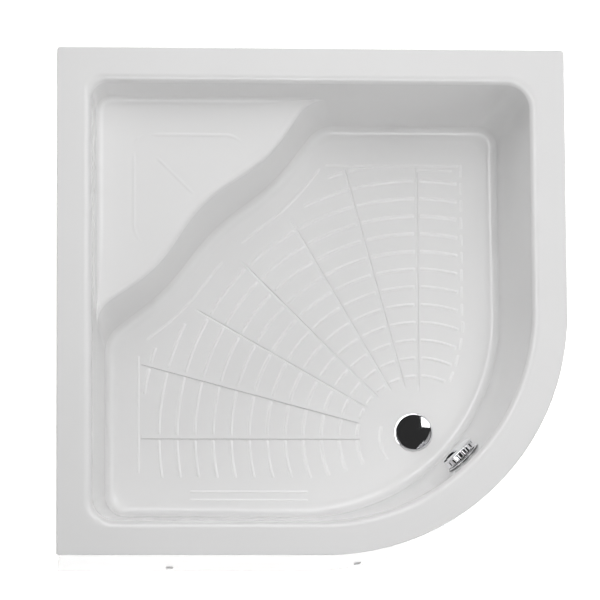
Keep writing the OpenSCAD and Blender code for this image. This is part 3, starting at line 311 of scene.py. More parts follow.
# Sizes of the tub's own shape, as in its CAD source
SIDE = 450.0  # half of the square's side
RIM = 410.0
FLOOR = 130.0
SEAT = 308.0
RIM_WIDTH = 46.0
FRONT_RIM = 46.0
LIP_HALF = SIDE - RIM_WIDTH
ROOT2 = math.sqrt(2)
FRONT_R = 430.0
FRONT_C = SIDE - FRONT_R
EDGE_REACH = FRONT_C * ROOT2 + FRONT_R
LIP_R = 16.0
FILLET = 25.0
SEAT_FILLET = 15.0
SEAT_EDGE = 12.0
WALL_RUN = 71.0
FRONT_RUN = 84.0
LIP_ARC = 384.0
FLOOR_ARC = 354.0
LIP_C = (EDGE_REACH - FRONT_RIM - LIP_ARC) / ROOT2
FLOOR_C = (EDGE_REACH - FRONT_RIM - FRONT_RUN - FLOOR_ARC) / ROOT2
SHELL = 4.0
GLASS_TOP = 4.3
GLASS_LOW = 7.0
SKIRT = 35.0
EDGE_R = 2.5

# Corner radii in plan, above the seat, on the other walls, at the floor and outside
SEAT_R = 28.0
SIDE_R = 45.0
FLOOR_R = 32.0
OUTER_R = 6.0

# The front of the seat is a wave, at its edge and at its foot
REACH = 362.0
FOOT_REACH = 431.0
SWELL = 19.0
FOOT_SWELL = 12.0
WAVE = 285.0
END_BLEND = 28.0

# Points on the stretches of a ring
STRAIGHT = 30
RAMP = 11
CORNER_N = 20
BLEND_N = 8
WAVE_N = 64
SIDE_N = 14
ARC_N = 84


def slope_of(run, height, radii):
    """The lean of a straight wall between two rounded ends."""
    return math.degrees(math.atan2(run, height) - math.asin(radii / math.hypot(run, height)))


SLOPE = slope_of(WALL_RUN, RIM - FLOOR - LIP_R - FILLET, LIP_R + FILLET)
FRONT_SLOPE = slope_of(FOOT_REACH - REACH, SEAT - FLOOR - SEAT_EDGE - FILLET, SEAT_EDGE + FILLET)


def mirrored(p):
    """The same point on the other side of the diagonal."""
    return (-p[1], -p[0], *p[2:])


def wall_inset(z):
    """How far the straight wall has come in from the lip at a height."""
    return LIP_R * cos(SLOPE) + (RIM - LIP_R * (1 - sin(SLOPE)) - z) * math.tan(math.radians(SLOPE))


def outline(inset, grow):
    """Half width, arc centre, arc radius, seat corner radius and side corner radius at an inset of the wall.

    grow moves the outline out, to the other side of the shell or to the backing.
    """
    s = inset / WALL_RUN
    return (LIP_HALF - inset + grow, mix(LIP_C, FLOOR_C, s), mix(LIP_ARC, FLOOR_ARC, s) + grow,
            SEAT_R + grow, mix(SIDE_R, FLOOR_R, s) + grow)


def rim_outline(inset):
    """The same five values for the rim's outer edge."""
    return (SIDE - inset, FRONT_C, FRONT_R - inset, OUTER_R, OUTER_R)


def lean(o):
    """The angle at which a side corner runs into the front arc."""
    return math.degrees(math.atan2(o[0] + o[1], o[0] - o[1])
                        - math.acos(min(1, o[2] / math.hypot(o[0] - o[1], o[0] + o[1]))))


def round_front(o, z):
    """The part of a ring that runs round the curved front, with the side corners."""
    half, centre, radius, _, side_r = o
    tilt = lean(o)
    corner_x = half - side_r * (1 - sin(tilt)) / cos(tilt)
    corner = []
    for i in range(SIDE_N + 1):
        a = mix(90, tilt, i / SIDE_N)
        corner.append((corner_x + side_r * cos(a), half - side_r + side_r * sin(a), z))
    arc = []
    for i in range(ARC_N + 1):
        a = mix(tilt, -90 - tilt, i / ARC_N)
        arc.append((centre + radius * cos(a), -centre + radius * sin(a), z))
    return corner + arc[1:-1] + [mirrored(p) for p in reversed(corner)]


def seat_corner(o, z, f, zf, x_end):
    """The part of a ring round the seat corner. It comes in by f and changes its height from z to zf."""
    r = o[3]
    top = []
    for i in range(STRAIGHT, 0, -1):
        w = ramp((STRAIGHT - i) / RAMP)
        top.append((mix(-o[0] + r, x_end, i / STRAIGHT), o[0] - f * w, mix(z, zf, w)))
    arc = [(-o[0] + r + (r - f) * cos(mix(90, 180, i / CORNER_N)),
            o[0] - r + (r - f) * sin(mix(90, 180, i / CORNER_N)), zf) for i in range(CORNER_N + 1)]
    return [mirrored(p) for p in top] + arc[::-1] + top[::-1]


def wave(v, reach, swell):
    """How far the seat reaches out at v across the diagonal."""
    return reach + swell * (1 - cos(360 * v / WAVE)) / 2


def wave_end(reach, swell, inset):
    """Where the wave meets the wall, found by repeating from a first guess."""
    guess, rounds = 240.0, 12
    for _ in range(rounds):
        guess = wave(guess, reach, swell) - ROOT2 * inset
    return guess


def on_plan(u, v, z):
    """A point u from the seat corner along the diagonal and v across it."""
    return ((u + v) / ROOT2 - SIDE, (v - u) / ROOT2 + SIDE, z)


def seat_front(o, z, reach, swell):
    """The part of a ring along the wavy front of the seat, with a bend into the wall at each end."""
    v_end = wave_end(reach, swell, SIDE - o[0])
    v_wave = v_end - END_BLEND
    b = on_plan(wave(v_end, reach, swell), v_end, z)
    a = (b[0] + END_BLEND, b[1], b[2])
    c = on_plan(wave(v_wave, reach, swell), v_wave, z)
    top = [bend(a, b, c, i / BLEND_N) for i in range(BLEND_N + 1)]
    middle = []
    for i in range(1, WAVE_N):
        v = mix(-v_wave, v_wave, i / WAVE_N)
        middle.append(on_plan(wave(v, reach, swell), v, z))
    return [mirrored(p) for p in top] + middle + top[::-1]


SEAT_END_V = wave_end(REACH, SWELL, SIDE - LIP_HALF + wall_inset(SEAT))
SEAT_END_X = on_plan(wave(SEAT_END_V, REACH, SWELL), SEAT_END_V, 0)[0] + END_BLEND
FILLET_Z = SEAT + SEAT_FILLET
FILLET_INSET = wall_inset(FILLET_Z) + SEAT_FILLET / cos(SLOPE)


def plain_ring(o, z):
    """A level ring above the seat."""
    return seat_corner(o, z, 0, z, SEAT_END_X) + round_front(o, z)


def lip_ring(a, d):
    """A ring of the rounded lip at angle a, d below the visible surface."""
    return plain_ring(outline(LIP_R * sin(a), d * sin(a)), RIM - LIP_R + (LIP_R - d) * cos(a))


def fillet_ring(a, d):
    """A ring of the fillet between the seat and the walls."""
    z = FILLET_Z - SEAT_FILLET * sin(a)
    inset = wall_inset(z)
    o = outline(inset, d * cos(SLOPE))
    f = FILLET_INSET - SEAT_FILLET * cos(a) - d * cos(a) - inset + d * cos(SLOPE)
    z_wall = z - d * sin(SLOPE)
    return seat_corner(o, z_wall, f, z - d * sin(a), SEAT_END_X) + round_front(o, z_wall)


def front_ring(z_wall, inset, normal, z, reach, swell):
    """A ring below the seat: the seat's front on one side, the walls on the others."""
    o = outline(inset, normal[0])
    return seat_front(o, z, reach, swell) + round_front(o, z_wall - normal[1])


def edge_ring(a, d):
    """A ring of the rounded edge of the seat. The first one is let down a little on the walls."""
    top = SEAT - SEAT_EDGE
    z = top + (SEAT_EDGE - d) * cos(a)
    let_down = SEAT_EDGE * (1 - cos(10)) / 2 if a == 0 else 0
    z_wall = top + SEAT_EDGE * cos(a) - let_down
    t = (SEAT - top - SEAT_EDGE * cos(a)) / (SEAT - FLOOR)
    return front_ring(z_wall, wall_inset(z_wall), (d * cos(SLOPE), d * sin(SLOPE)),
                      z, REACH + (SEAT_EDGE - d) * sin(a), mix(SWELL, FOOT_SWELL, t))


def foot_ring(a, d):
    """A ring of the fillet round the floor."""
    centre_z = FLOOR + FILLET
    rise = FILLET + d
    wall = a * (90 - SLOPE) / 90
    front = a * (90 - FRONT_SLOPE) / 90
    return front_ring(centre_z - FILLET * cos(wall), WALL_RUN - FILLET * sin(wall),
                      (d * sin(wall), d * cos(wall)),
                      centre_z - rise * cos(front), FOOT_REACH - rise * sin(front),
                      mix(FOOT_SWELL, SWELL, (1 - cos(front)) * FILLET / (SEAT - FLOOR)))


def basin(d, fine):
    """All rings of the basin from its floor to the start of the lip, d below the visible surface."""
    rings = [foot_ring(90 * i / fine, d) for i in range(fine + 1)]
    rings += [edge_ring((90 - FRONT_SLOPE) * i / fine, d) for i in range(fine, -1, -1)]
    rings += [fillet_ring(mix(SLOPE, 90, i / fine), d) for i in range(fine, -1, -1)]
    rings += [lip_ring((90 - SLOPE) * i / fine, d) for i in range(fine, -1, -1)]
    return rings


# Where the waste and the overflow sit
WASTE_IN = 172.0  # from the curved front edge to the waste
WASTE_REACH = EDGE_REACH - WASTE_IN
WASTE = (WASTE_REACH / ROOT2, -WASTE_REACH / ROOT2)
WASTE_HOLE = 26.5
ON_WASTE = moved(*WASTE, 0) @ turned(-45, "Z")
OVER_Z = 335.0
OVER_HOLE = 26.0
OVER_REACH = EDGE_REACH - FRONT_RIM - FRONT_RUN * wall_inset(OVER_Z) / WALL_RUN
LEAN = math.degrees(math.atan(math.tan(math.radians(SLOPE)) * FRONT_RUN / WALL_RUN))
ON_WALL = (moved(OVER_REACH / ROOT2, -OVER_REACH / ROOT2, OVER_Z)
           @ turned(-45, "Z") @ turned(-90 + LEAN, "Y"))
DRILL_FROM, DRILL_TO = -24, 12


def floor_rings(first, z, steps):
    """From the waste hole out to the first ring of the basin, without that ring."""
    hole = []
    for p in first:
        k = WASTE_HOLE / math.hypot(p[0] - WASTE[0], p[1] - WASTE[1])
        hole.append((mix(WASTE[0], p[0], k), mix(WASTE[1], p[1], k)))
    return [[(mix(h[0], p[0], t), mix(h[1], p[1], t), z) for h, p in zip(hole, first)] for t in steps]


def shell(up, down, edge, top_z, low_z, steps):
    """A skin from the waste hole up the basin, over an edge and back down underneath."""
    rings = floor_rings(up[0], top_z, steps) + up + edge + down[::-1]
    rings += floor_rings(down[0], low_z, steps)[::-1]
    verts = [p for r in rings for p in r]
    return verts, outward(verts, tube_faces(len(rings), len(rings[0]), closed_rows=True))


def cut_away(ob, verts, faces, place=None):
    """Takes a closed mesh out of a piece."""
    me = bpy.data.meshes.new("cutter")
    me.from_pydata([(x / 1000, y / 1000, z / 1000) for x, y, z in verts], [], faces)
    if place is not None:
        me.transform(place)
    bit = bpy.data.objects.new("cutter", me)
    bpy.context.scene.collection.objects.link(bit)
    cut = ob.modifiers.new("cut", "BOOLEAN")
    cut.operation, cut.solver, cut.object = "DIFFERENCE", "EXACT", bit
    depsgraph = bpy.context.evaluated_depsgraph_get()
    made = bpy.data.meshes.new_from_object(ob.evaluated_get(depsgraph), depsgraph=depsgraph)
    ob.modifiers.remove(cut)
    ob.data = made
    bpy.data.objects.remove(bit)


def drill(ob, radius, low, high, place):
    """Cuts a round hole through a piece, along the local Z of place."""
    n = 96
    verts = [(radius * cos(360 * j / n), radius * sin(360 * j / n), z) for z in (low, high) for j in range(n)]
    ends = [tuple(range(n - 1, -1, -1)), tuple(range(n, 2 * n))]
    cut_away(ob, verts, tube_faces(2, n) + ends, place)


# Lines of the floor and the seat, sunk a little so that they grow out of the surface
SUNK = 0.03
STEP = 2.0  # between the points of a line


def bump_strip(line, width, height, base, sides=8, taper=6.0):
    """A soft raised rib along a plan line, with its ends run out to nothing."""
    verts, faces = [], []
    n = len(line)
    run = [0.0]
    for a, b in zip(line, line[1:]):
        run.append(run[-1] + math.hypot(b[0] - a[0], b[1] - a[1]))
    for i, p in enumerate(line):
        a, b = line[max(i - 1, 0)], line[min(i + 1, n - 1)]
        d = math.hypot(b[0] - a[0], b[1] - a[1])
        nx, ny = -(b[1] - a[1]) / d, (b[0] - a[0]) / d
        w = ramp(min(run[i], run[-1] - run[i]) / taper)
        for j in range(sides + 1):
            s = j / sides - 0.5
            z = base - SUNK + height * w * (0.5 + 0.5 * cos(360 * s))
            verts.append((p[0] + nx * s * width, p[1] + ny * s * width, z))
    for i in range(n - 1):
        for j in range(sides):
            a = i * (sides + 1) + j
            faces.append((a, a + sides + 1, a + sides + 2, a + 1))
    return verts, faces


def groove(line, width, depth, base, sides=8, taper=14.0):
    """A cutter for a soft groove along a straight plan line, its ends run out above the surface."""
    over = 0.02
    verts, faces = bump_strip(line, width, -depth - over, base + SUNK + over, sides, taper)
    n, m = len(line), sides + 1
    top = [(x, y, base + 3) for x, y, z in verts]
    start = len(verts)
    verts += top
    faces = flip(faces) + [tuple(start + i for i in f) for f in faces]
    for i in range(n - 1):
        for a, b in ((i * m, (i + 1) * m), ((i + 1) * m + sides, i * m + sides)):
            faces.append((a, b, start + b, start + a))
    for row in (0, (n - 1) * m):
        end = [row + j for j in range(m)] + [start + row + j for j in range(m - 1, -1, -1)]
        faces.append(tuple(end) if row else tuple(reversed(end)))
    return verts, outward(verts, faces)


def inside(p, margin):
    """How far a plan point lies inside the basin floor less a margin (positive inside)."""
    x, y = p[:2]
    u, v = (x - y + 2 * SIDE) / ROOT2, (x + y) / ROOT2
    clear = [LIP_HALF - WALL_RUN - margin - max(x, y, -x, -y),
             u - wave(v, FOOT_REACH + margin, FOOT_SWELL)]
    if x > FLOOR_C and y < -FLOOR_C:
        clear.append(FLOOR_ARC - margin - math.hypot(x - FLOOR_C, y + FLOOR_C))
    return min(clear)


def runs(points, keep):
    """Splits a line into the runs of points that keep() holds for."""
    out, cur = [], []
    for p in points:
        if keep(p):
            cur.append(p)
        else:
            if len(cur) > 2:
                out.append(cur)
            cur = []
    if len(cur) > 2:
        out.append(cur)
    return out


def spaced(corners):
    """Points at an even spacing along straight stretches between corners."""
    out = []
    for a, b in zip(corners, corners[1:]):
        n = max(1, round(math.hypot(b[0] - a[0], b[1] - a[1]) / STEP))
        out += [(mix(a[0], b[0], i / n), mix(a[1], b[1], i / n)) for i in range(n)]
    return out + [corners[-1]]


def arc_points(centre, r, a, b):
    """Points at an even spacing along an arc from angle a to angle b."""
    n = max(2, round(abs(b - a) * math.pi / 180 * r / STEP))
    angles = [mix(a, b, i / n) for i in range(n + 1)]
    return [(centre[0] + r * cos(angle), centre[1] + r * sin(angle)) for angle in angles]


def dashes(line, on, off):
    """Splits a line into dashes of a length with gaps between them."""
    out, cur, run = [], [line[0]], 0.0
    for a, b in zip(line, line[1:]):
        run += math.hypot(b[0] - a[0], b[1] - a[1])
        if run % (on + off) < on:
            cur.append(b)
        elif cur:
            out.append(cur)
            cur = []
    return [d for d in out + [cur] if len(d) > 2]


# The acrylic shell, with its lower edge rounded off at the hem
FINE, COARSE = 10, 4
HEM, HEM_MIDDLE = 1.5, 0.4
edge = [plain_ring(rim_outline(SHELL), RIM)]
for a in range(0, 91, 15):
    edge.append(plain_ring(rim_outline(EDGE_R * (1 - sin(a))), RIM - EDGE_R * (1 - cos(a))))
for inset, drop in ((0, SKIRT - HEM), (HEM_MIDDLE, SKIRT - HEM_MIDDLE), (HEM, SKIRT), (2 * HEM, SKIRT),
                    (SHELL, SKIRT - 1), (SHELL, SHELL)):
    edge.append(plain_ring(rim_outline(inset), RIM - drop))
FLOOR_STEPS = (0, 0.05, 0.3, 0.6, 0.9, 0.985)
verts, faces = shell(basin(0, FINE), basin(SHELL, FINE), edge, FLOOR, FLOOR - SHELL, FLOOR_STEPS)
tub = piece("tub_shell_skin", verts, faces, ACRYLIC, "tray", ["tub_shell"], "acrylic")
drill(tub, OVER_HOLE, DRILL_FROM, DRILL_TO, ON_WALL)

# Grooves fan out from a point just beyond the waste. Each angle has the distance where its groove starts.
FAN_REACH = WASTE_REACH + 14
FAN = (FAN_REACH / ROOT2, -FAN_REACH / ROOT2)
SPOKES = {90: 83, 105: 91, 120: 96, 135: 99, 150: 105, 165: 113, 180: 108}
SPOKE_END, SPOKE_STEP, SPOKE_MARGIN = 640, 4, 40
GROOVE_W, GROOVE_D = 5.5, 1.6
verts, faces = [], []
for a, start in SPOKES.items():
    line = [(FAN[0] + r * cos(a), FAN[1] + r * sin(a)) for r in range(start, SPOKE_END, SPOKE_STEP)]
    for part in runs(line, lambda p: inside(p, SPOKE_MARGIN) > 0):
        add(verts, faces, groove(part, GROOVE_W, GROOVE_D, FLOOR))
cut_away(tub, verts, faces)
weigh(tub)


# The laminate under the shell, rough on its outer side
def rough(p):
    """How far a point of the outer side is drawn in, as a share of the thickness."""
    along = math.sin(p[0] * 0.37 + 3.1 * math.sin(p[1] * 0.11))
    across = math.sin(p[1] * 0.31 + 2.3 * math.sin(p[2] * 0.13))
    return 0.13 * (0.5 + 0.5 * (along * across))


GLASS_INSET = 20
up, down = basin(GLASS_TOP, COARSE), basin(GLASS_LOW, COARSE)
down = [[tuple(mix(p[c], q[c], rough(p)) for c in range(3)) for p, q in zip(low, top)]
        for low, top in zip(down, up)]
edge = [plain_ring(rim_outline(GLASS_INSET), RIM - depth) for depth in (GLASS_TOP, GLASS_LOW)]
verts, faces = shell(up, down, edge, FLOOR - GLASS_TOP, FLOOR - GLASS_LOW, (0, 0.3, 0.7, 0.97))
glass = piece("laminate_skin", verts, faces, GLASS, "tray", ["fibreglass_backing"], "fibreglass")
drill(glass, OVER_HOLE, DRILL_FROM, DRILL_TO, ON_WALL)

# Raised ribs of the floor: rows of arcs about the same point, with gaps at the grooves
RIB_W, RIB_H, RIB_TAPER = 7.5, 2.0, 4.0
ROWS, FIRST_ROW, ROW_PITCH = 13, 113, 32.7
ROW_FROM, ROW_TO, ROW_MARGIN = 40, 230, 46
FAN_SIDE = 75.0
SPOKE_GAP = 3.4
ribs_v, ribs_f = [], []


def rib(line, width=RIB_W, height=RIB_H, taper=RIB_TAPER):
    """Adds a rib or a line along a plan line of the floor."""
    add(ribs_v, ribs_f, bump_strip(line, width, height, FLOOR, taper=taper))


def on_tread(p, r):
    """Whether a point of the row of radius r lies on the ribbed part, away from the grooves."""
    if inside(p, ROW_MARGIN) < 0 or p[0] > FAN[0] + FAN_SIDE or p[1] < FAN[1] - FAN_SIDE:
        return False
    a = math.degrees(math.atan2(p[1] - FAN[1], p[0] - FAN[0])) % 360
    return all(abs(a - s) * math.pi / 180 * r > SPOKE_GAP for s in SPOKES)


for i in range(ROWS):
    row = FIRST_ROW + ROW_PITCH * i
    for part in runs(arc_points(FAN, row, ROW_FROM, ROW_TO), lambda p: on_tread(p, row)):
        rib(part)

# One more short rib close to the waste
rib(arc_points(FAN, 71, 163, 215))

# Border lines of the floor: dashed on the right and round the front, plain on the other sides
BORDER_IN = 40
BORDER = LIP_HALF - WALL_RUN - BORDER_IN
BACK_LINE, LEFT_LINE, FRONT_LINES = BORDER - 5, -BORDER - 4, (-311, -326)
BORDER_W, BORDER_H, LOW_H = 6.0, 1.3, 1.2
THIN_W, THIN_H = 5.0, 0.9
front_border = arc_points((FLOOR_C, -FLOOR_C), FLOOR_ARC - BORDER_IN, 0, -24)
right_border = spaced([(BORDER, BORDER - 2), (BORDER, 0)]) + [p for p in front_border if p[1] < 0]
for part in dashes(right_border, 25, 7):
    rib(part, BORDER_W, BORDER_H)
rib(spaced([(45, BACK_LINE), (BORDER - 3, BACK_LINE)]), BORDER_W, LOW_H)
rib(spaced([(212, BACK_LINE - 9), (278, BACK_LINE - 9)]), THIN_W, THIN_H)
rib(spaced([(LEFT_LINE, -64), (LEFT_LINE, -278)]), BORDER_W, BORDER_H)
for y in FRONT_LINES:
    rib(spaced([(-205, y), (10, y)]), THIN_W, THIN_H)

# Border line at the foot of the seat, open where it crosses the diagonal
FOOT_OUT, FOOT_MARGIN, HALF_OPEN = 26, 22, 30
foot_border = [on_plan(wave(v, FOOT_REACH + FOOT_OUT, FOOT_SWELL), v, 0)[:2] for v in range(-225, 226, 3)]
for part in runs(foot_border, lambda p: inside(p, FOOT_MARGIN) > 0 and abs(p[0] + p[1]) > HALF_OPEN):
    rib(part, BORDER_W, LOW_H, taper=14.0)
# The ribs carry the lighter white of the painted highlight
piece("floor_ribs", ribs_v, ribs_f, RIBS_PAINTED_HIGHLIGHT, "tray", [], "acrylic")

# Faint lines of the seat: two parallel to the walls that turn towards its edge, and one on the diagonal
SEAT_LINE, LINE_END = 311.0, 150
HOOK, TURN = 46, 24.0
SEAT_LINE_H = 0.7
side_line = spaced([(-SEAT_LINE, SEAT_LINE - TURN - 2), (-SEAT_LINE, LINE_END)])
side_line += arc_points((-SEAT_LINE + HOOK, LINE_END), HOOK, 180, 230)[1:]
corner_line = arc_points((TURN - SEAT_LINE, SEAT_LINE - TURN), TURN, 96, 174)
lines_v, lines_f = [], []
for part in (side_line, [mirrored(p) for p in side_line], corner_line):
    add(lines_v, lines_f, bump_strip(part, 9.0, SEAT_LINE_H, SEAT, taper=30.0))
diagonal = spaced([(-274, 274), (-201, 201)])
add(lines_v, lines_f, bump_strip(diagonal, 8.0, SEAT_LINE_H, SEAT, taper=20.0))
piece("seat_lines", lines_v, lines_f, ACRYLIC, "tray", [], "acrylic")

# Chrome waste: the flange with its guide for the stem
TAIL_Z = 108.0
ON_SEAL = FLOOR + 1
FLANGE_TOP = ON_SEAL + 2
STEM_HOLE, HUB_R, HUB_H = 4.05, 7, 4
profile = soften([(23, TAIL_Z), (25, TAIL_Z), (25, ON_SEAL), (34.4, ON_SEAL), (35, ON_SEAL + 0.6),
                  (32, FLANGE_TOP), (23.6, FLANGE_TOP), (23, FLANGE_TOP - 0.6)], 0.5)


def guide(low, spoke_end):
    """A small hub on three arms."""
    hub = [(STEM_HOLE, low), (HUB_R, low), (HUB_R, low + HUB_H), (STEM_HOLE, low + HUB_H)]
    v, f = lathe(hub, 48)
    for a in (0, 120, 240):
        add(v, f, block((HUB_R - 1.5, -2, low + 0.01), (spoke_end, 2, low + HUB_H - 0.01), a))
    return v, f


verts, faces = lathe(profile, 160)
add(verts, faces, guide(TAIL_Z, 24))
piece("waste_flange_turned", verts, faces, CHROME, "tray", ["waste_flange"], "chrome", place=ON_WASTE)

# The plug cap, almost flat
BASE = FLOOR + 4.5
PLUG_R, PLUG_RISE, PLUG_EDGE, PLUG_FLAT = 32.0, 3.0, 2.0, 31.2
DOME = (PLUG_R ** 2 + PLUG_RISE ** 2) / (2 * PLUG_RISE)
DOME_END = math.degrees(math.asin(PLUG_FLAT / DOME))
DOME_N = 26
profile = []
for i in range(DOME_N + 1):
    a = DOME_END * i / DOME_N
    profile.append((DOME * sin(a), BASE + PLUG_EDGE + PLUG_RISE - DOME * (1 - cos(a))))
profile += [(PLUG_R - 0.25, BASE + 2.1), (PLUG_R, BASE + 1.6), (PLUG_R, BASE + 0.5),
            (PLUG_R - 0.3, BASE + 0.1), (PLUG_FLAT, BASE), (21.5, BASE), (21.5, FLOOR + 0.5), (21, FLOOR),
            (4.1, FLOOR), (4.1, BASE), (0, BASE)]
verts, faces = lathe(profile, 160)
piece("plug_cap_turned", verts, faces, CHROME, "plug", ["plug_cap"], "chrome", place=ON_WASTE, angle=50)

# Chrome overflow plate, whose back clears the curve of the wall
PLATE_R, PLATE_THICK, PLATE_BORE = 35, 2, 22
BACK = PLATE_R * PLATE_R / (2 * FLOOR_ARC) + 0.3 + 0.8
profile = soften([(PLATE_BORE, -19.8), (24, -19.8), (24, BACK), (PLATE_R - 0.6, BACK), (PLATE_R, BACK + 0.6),
                  (PLATE_R - 1.5, BACK + PLATE_THICK), (PLATE_BORE, BACK + PLATE_THICK)], 0.5)
verts, faces = lathe(profile, 160)
add(verts, faces, guide(-4, 23))
piece("faceplate_turned", verts, faces, CHROME, "tray", ["overflow_faceplate"], "chrome", place=ON_WALL)

# The fluted knob
KNOB = BACK + PLATE_THICK + 3
KNOB_R, FLUTES, CUTTER, FLUTE_DEPTH = 32.0, 20, 3.6, 2.0
FLUTED_FROM, FLUTE_LENGTH = 29.5, 8.0


def fluted(r, z, a):
    """Scallops round the knob, with round ends towards its face."""
    if r < FLUTED_FROM:
        return r
    half_step = 180 / FLUTES
    d = (a + half_step) % (2 * half_step) - half_step
    h = max(0.0, z - KNOB - FLUTE_LENGTH)
    cutter = math.sqrt(max(0.0, CUTTER ** 2 - h * h))
    c = KNOB_R + CUTTER - FLUTE_DEPTH
    reach = c * sin(d)
    if cutter <= abs(reach):
        return r
    return min(r, c * cos(d) - math.sqrt(cutter ** 2 - reach ** 2))


profile = [(0, 14), (10, 14), (20, 13.95), (23.5, 13.9), (24.2, 13.7), (25, 13.3), (28, 12.95), (29.6, 12.7),
           (30.6, 12.2), (31.3, 11.6), (31.8, 11.0)]
profile += [(KNOB_R, 10.6 - 0.4 * i) for i in range(26)]
profile += [(31.8, 0.2), (31.4, 0), (27.4, 0), (27, 0.4), (27, 9.4), (7.2, 9.4), (7, 9.2), (7, 0.2), (6.8, 0),
            (4.1, 0), (4.1, 10), (0, 10)]
verts, faces = lathe([(r, z + KNOB) for r, z in profile], 360, fluted)
piece("knob_turned", verts, faces, CHROME, "knob", ["overflow_knob"], "chrome", place=ON_WALL, angle=40)

# Ribbed overflow hose with its bore, on the route of its CAD solid
PORT_Z, COLLAR_END, PORT_DROP, FIT = FLOOR - 36, 42.0, 47.0, 0.3
HOSE_REACH = OVER_REACH + cos(LEAN) * (GLASS_LOW + 20) - WASTE_REACH
HOSE_TOP, HOSE_BEND, HOSE_END = OVER_Z - PORT_DROP - FIT, 55.0, COLLAR_END + FIT
HOSE_DOWN = HOSE_TOP - PORT_Z - HOSE_BEND
HOSE_TURN = HOSE_BEND * math.pi / 2
HOSE_LONG = HOSE_DOWN + HOSE_TURN + HOSE_REACH - HOSE_BEND - HOSE_END
HOSE_OUT, HOSE_VALLEY, HOSE_BORE = 12.5, 11.2, 9.65
HOSE_SIDES = 32
RIB_PITCH, RIB_STEPS = 6, 8
RIBS = round(HOSE_LONG / RIB_PITCH)


def hose_ring(s, r):
    """A ring of radius r at a distance s down the hose."""
    if s < HOSE_DOWN:
        x, z, a = HOSE_REACH, HOSE_TOP - s, 0.0
    elif s > HOSE_DOWN + HOSE_TURN:
        x, z, a = HOSE_REACH - HOSE_BEND - (s - HOSE_DOWN - HOSE_TURN), PORT_Z, 90.0
    else:
        a = math.degrees((s - HOSE_DOWN) / HOSE_BEND)
        x, z = HOSE_REACH - HOSE_BEND * (1 - cos(a)), PORT_Z + HOSE_BEND * (1 - sin(a))
    return [(x + r * cos(b) * cos(a), r * sin(b), z - r * cos(b) * sin(a))
            for b in (360 * i / HOSE_SIDES for i in range(HOSE_SIDES))]


rings = []
for i in range(RIBS * RIB_STEPS + 1):
    swell = (0.5 - 0.5 * cos(360 * i / RIB_STEPS)) ** 0.7
    rings.append(hose_ring(HOSE_LONG * i / (RIBS * RIB_STEPS), mix(HOSE_VALLEY, HOSE_OUT, swell)))
rings += [hose_ring(HOSE_LONG * i / RIBS, HOSE_BORE) for i in range(RIBS, -1, -1)]
verts = [p for r in rings for p in r]
faces = outward(verts, tube_faces(len(rings), HOSE_SIDES, closed_rows=True))
piece("overflow_hose_ribbed", verts, faces, HOSE, "tray", ["overflow_hose"], "hose_plastic",
      place=ON_WASTE, angle=60)


# Ridged nuts and cap of the pipework. Their ridges are cut inwards from the CAD radius.
def ridged(outer, count, depth, low, high):
    """Ridges for lathe(), between two heights."""
    def shape(r, z, a):
        if r < outer - 0.1 or z < low or z > high:
            return r
        return r - depth * (0.5 - 0.5 * cos(count * a)) ** 2
    return shape


def ridged_nut(outer, bore, seat, lip_z, low, high, count):
    """A nut with a narrow bore up to lip_z and a wider seat beyond it."""
    outside = [(outer - 1.2, low), (outer, low + 1.2)]
    outside += [(outer, mix(low + 2, high - 3, i / 6)) for i in range(7)]
    outside += [(outer, high - 2), (outer - 1.6, high)]
    first, second = (bore, seat) if seat > bore else (seat, bore)
    inner = [(second, high), (second, lip_z), (first, lip_z), (first, low)]
    return lathe(outside + inner, 24 * 8, ridged(outer, count, 1.1, low + 1.9, high - 2.9))


OUTLET_Z, TRAP_OFFSET = 52.0, 130.0
TOWARDS_TRAP = moved(WASTE[0], WASTE[1], OUTLET_Z) @ turned(-90, "Z") @ turned(90, "Y")
OUT_OF_TRAP = moved(WASTE[0], WASTE[1] - TRAP_OFFSET, OUTLET_Z) @ turned(-90, "Y")
COUPLING_R, COUPLING_BORE, COUPLING_SEAT = 30.1, 20.3, 24.2
verts, faces = [], []
for place in (TOWARDS_TRAP @ moved(0, 0, 54), OUT_OF_TRAP @ moved(0, 0, 72) @ turned(180, "X")):
    add(verts, faces, ridged_nut(COUPLING_R, COUPLING_BORE, COUPLING_SEAT, 4, 0, 20, 24), in_mm(place))
piece("coupling_nuts_ridged", verts, faces, PLASTIC, "tray", ["coupling_nuts"], "waste_plastic", angle=40)

# Nuts of the hose
HOSE_NUT_R, HOSE_NUT_RIDGES = 17, 18
outside = [(15.8, -6), (HOSE_NUT_R, -4.8)] + [(HOSE_NUT_R, mix(-4, 13, i / 6)) for i in range(7)]
outside += [(HOSE_NUT_R, 14), (15.4, 16)]
inner = [(12.8, 16), (12.8, 0), (14.1, 0), (14.1, -6)]
hose_nut = lathe(outside + inner, 144, ridged(HOSE_NUT_R, HOSE_NUT_RIDGES, 0.9, -4.1, 13.1))
verts, faces = [], []
for place in (moved(COLLAR_END, 0, PORT_Z) @ turned(90, "Y"),
              moved(HOSE_REACH, 0, OVER_Z - PORT_DROP) @ turned(180, "X")):
    add(verts, faces, hose_nut, in_mm(place))
piece("hose_nuts_ridged", verts, faces, PLASTIC, "tray", ["hose_nuts"], "waste_plastic",
      place=ON_WASTE, angle=40)

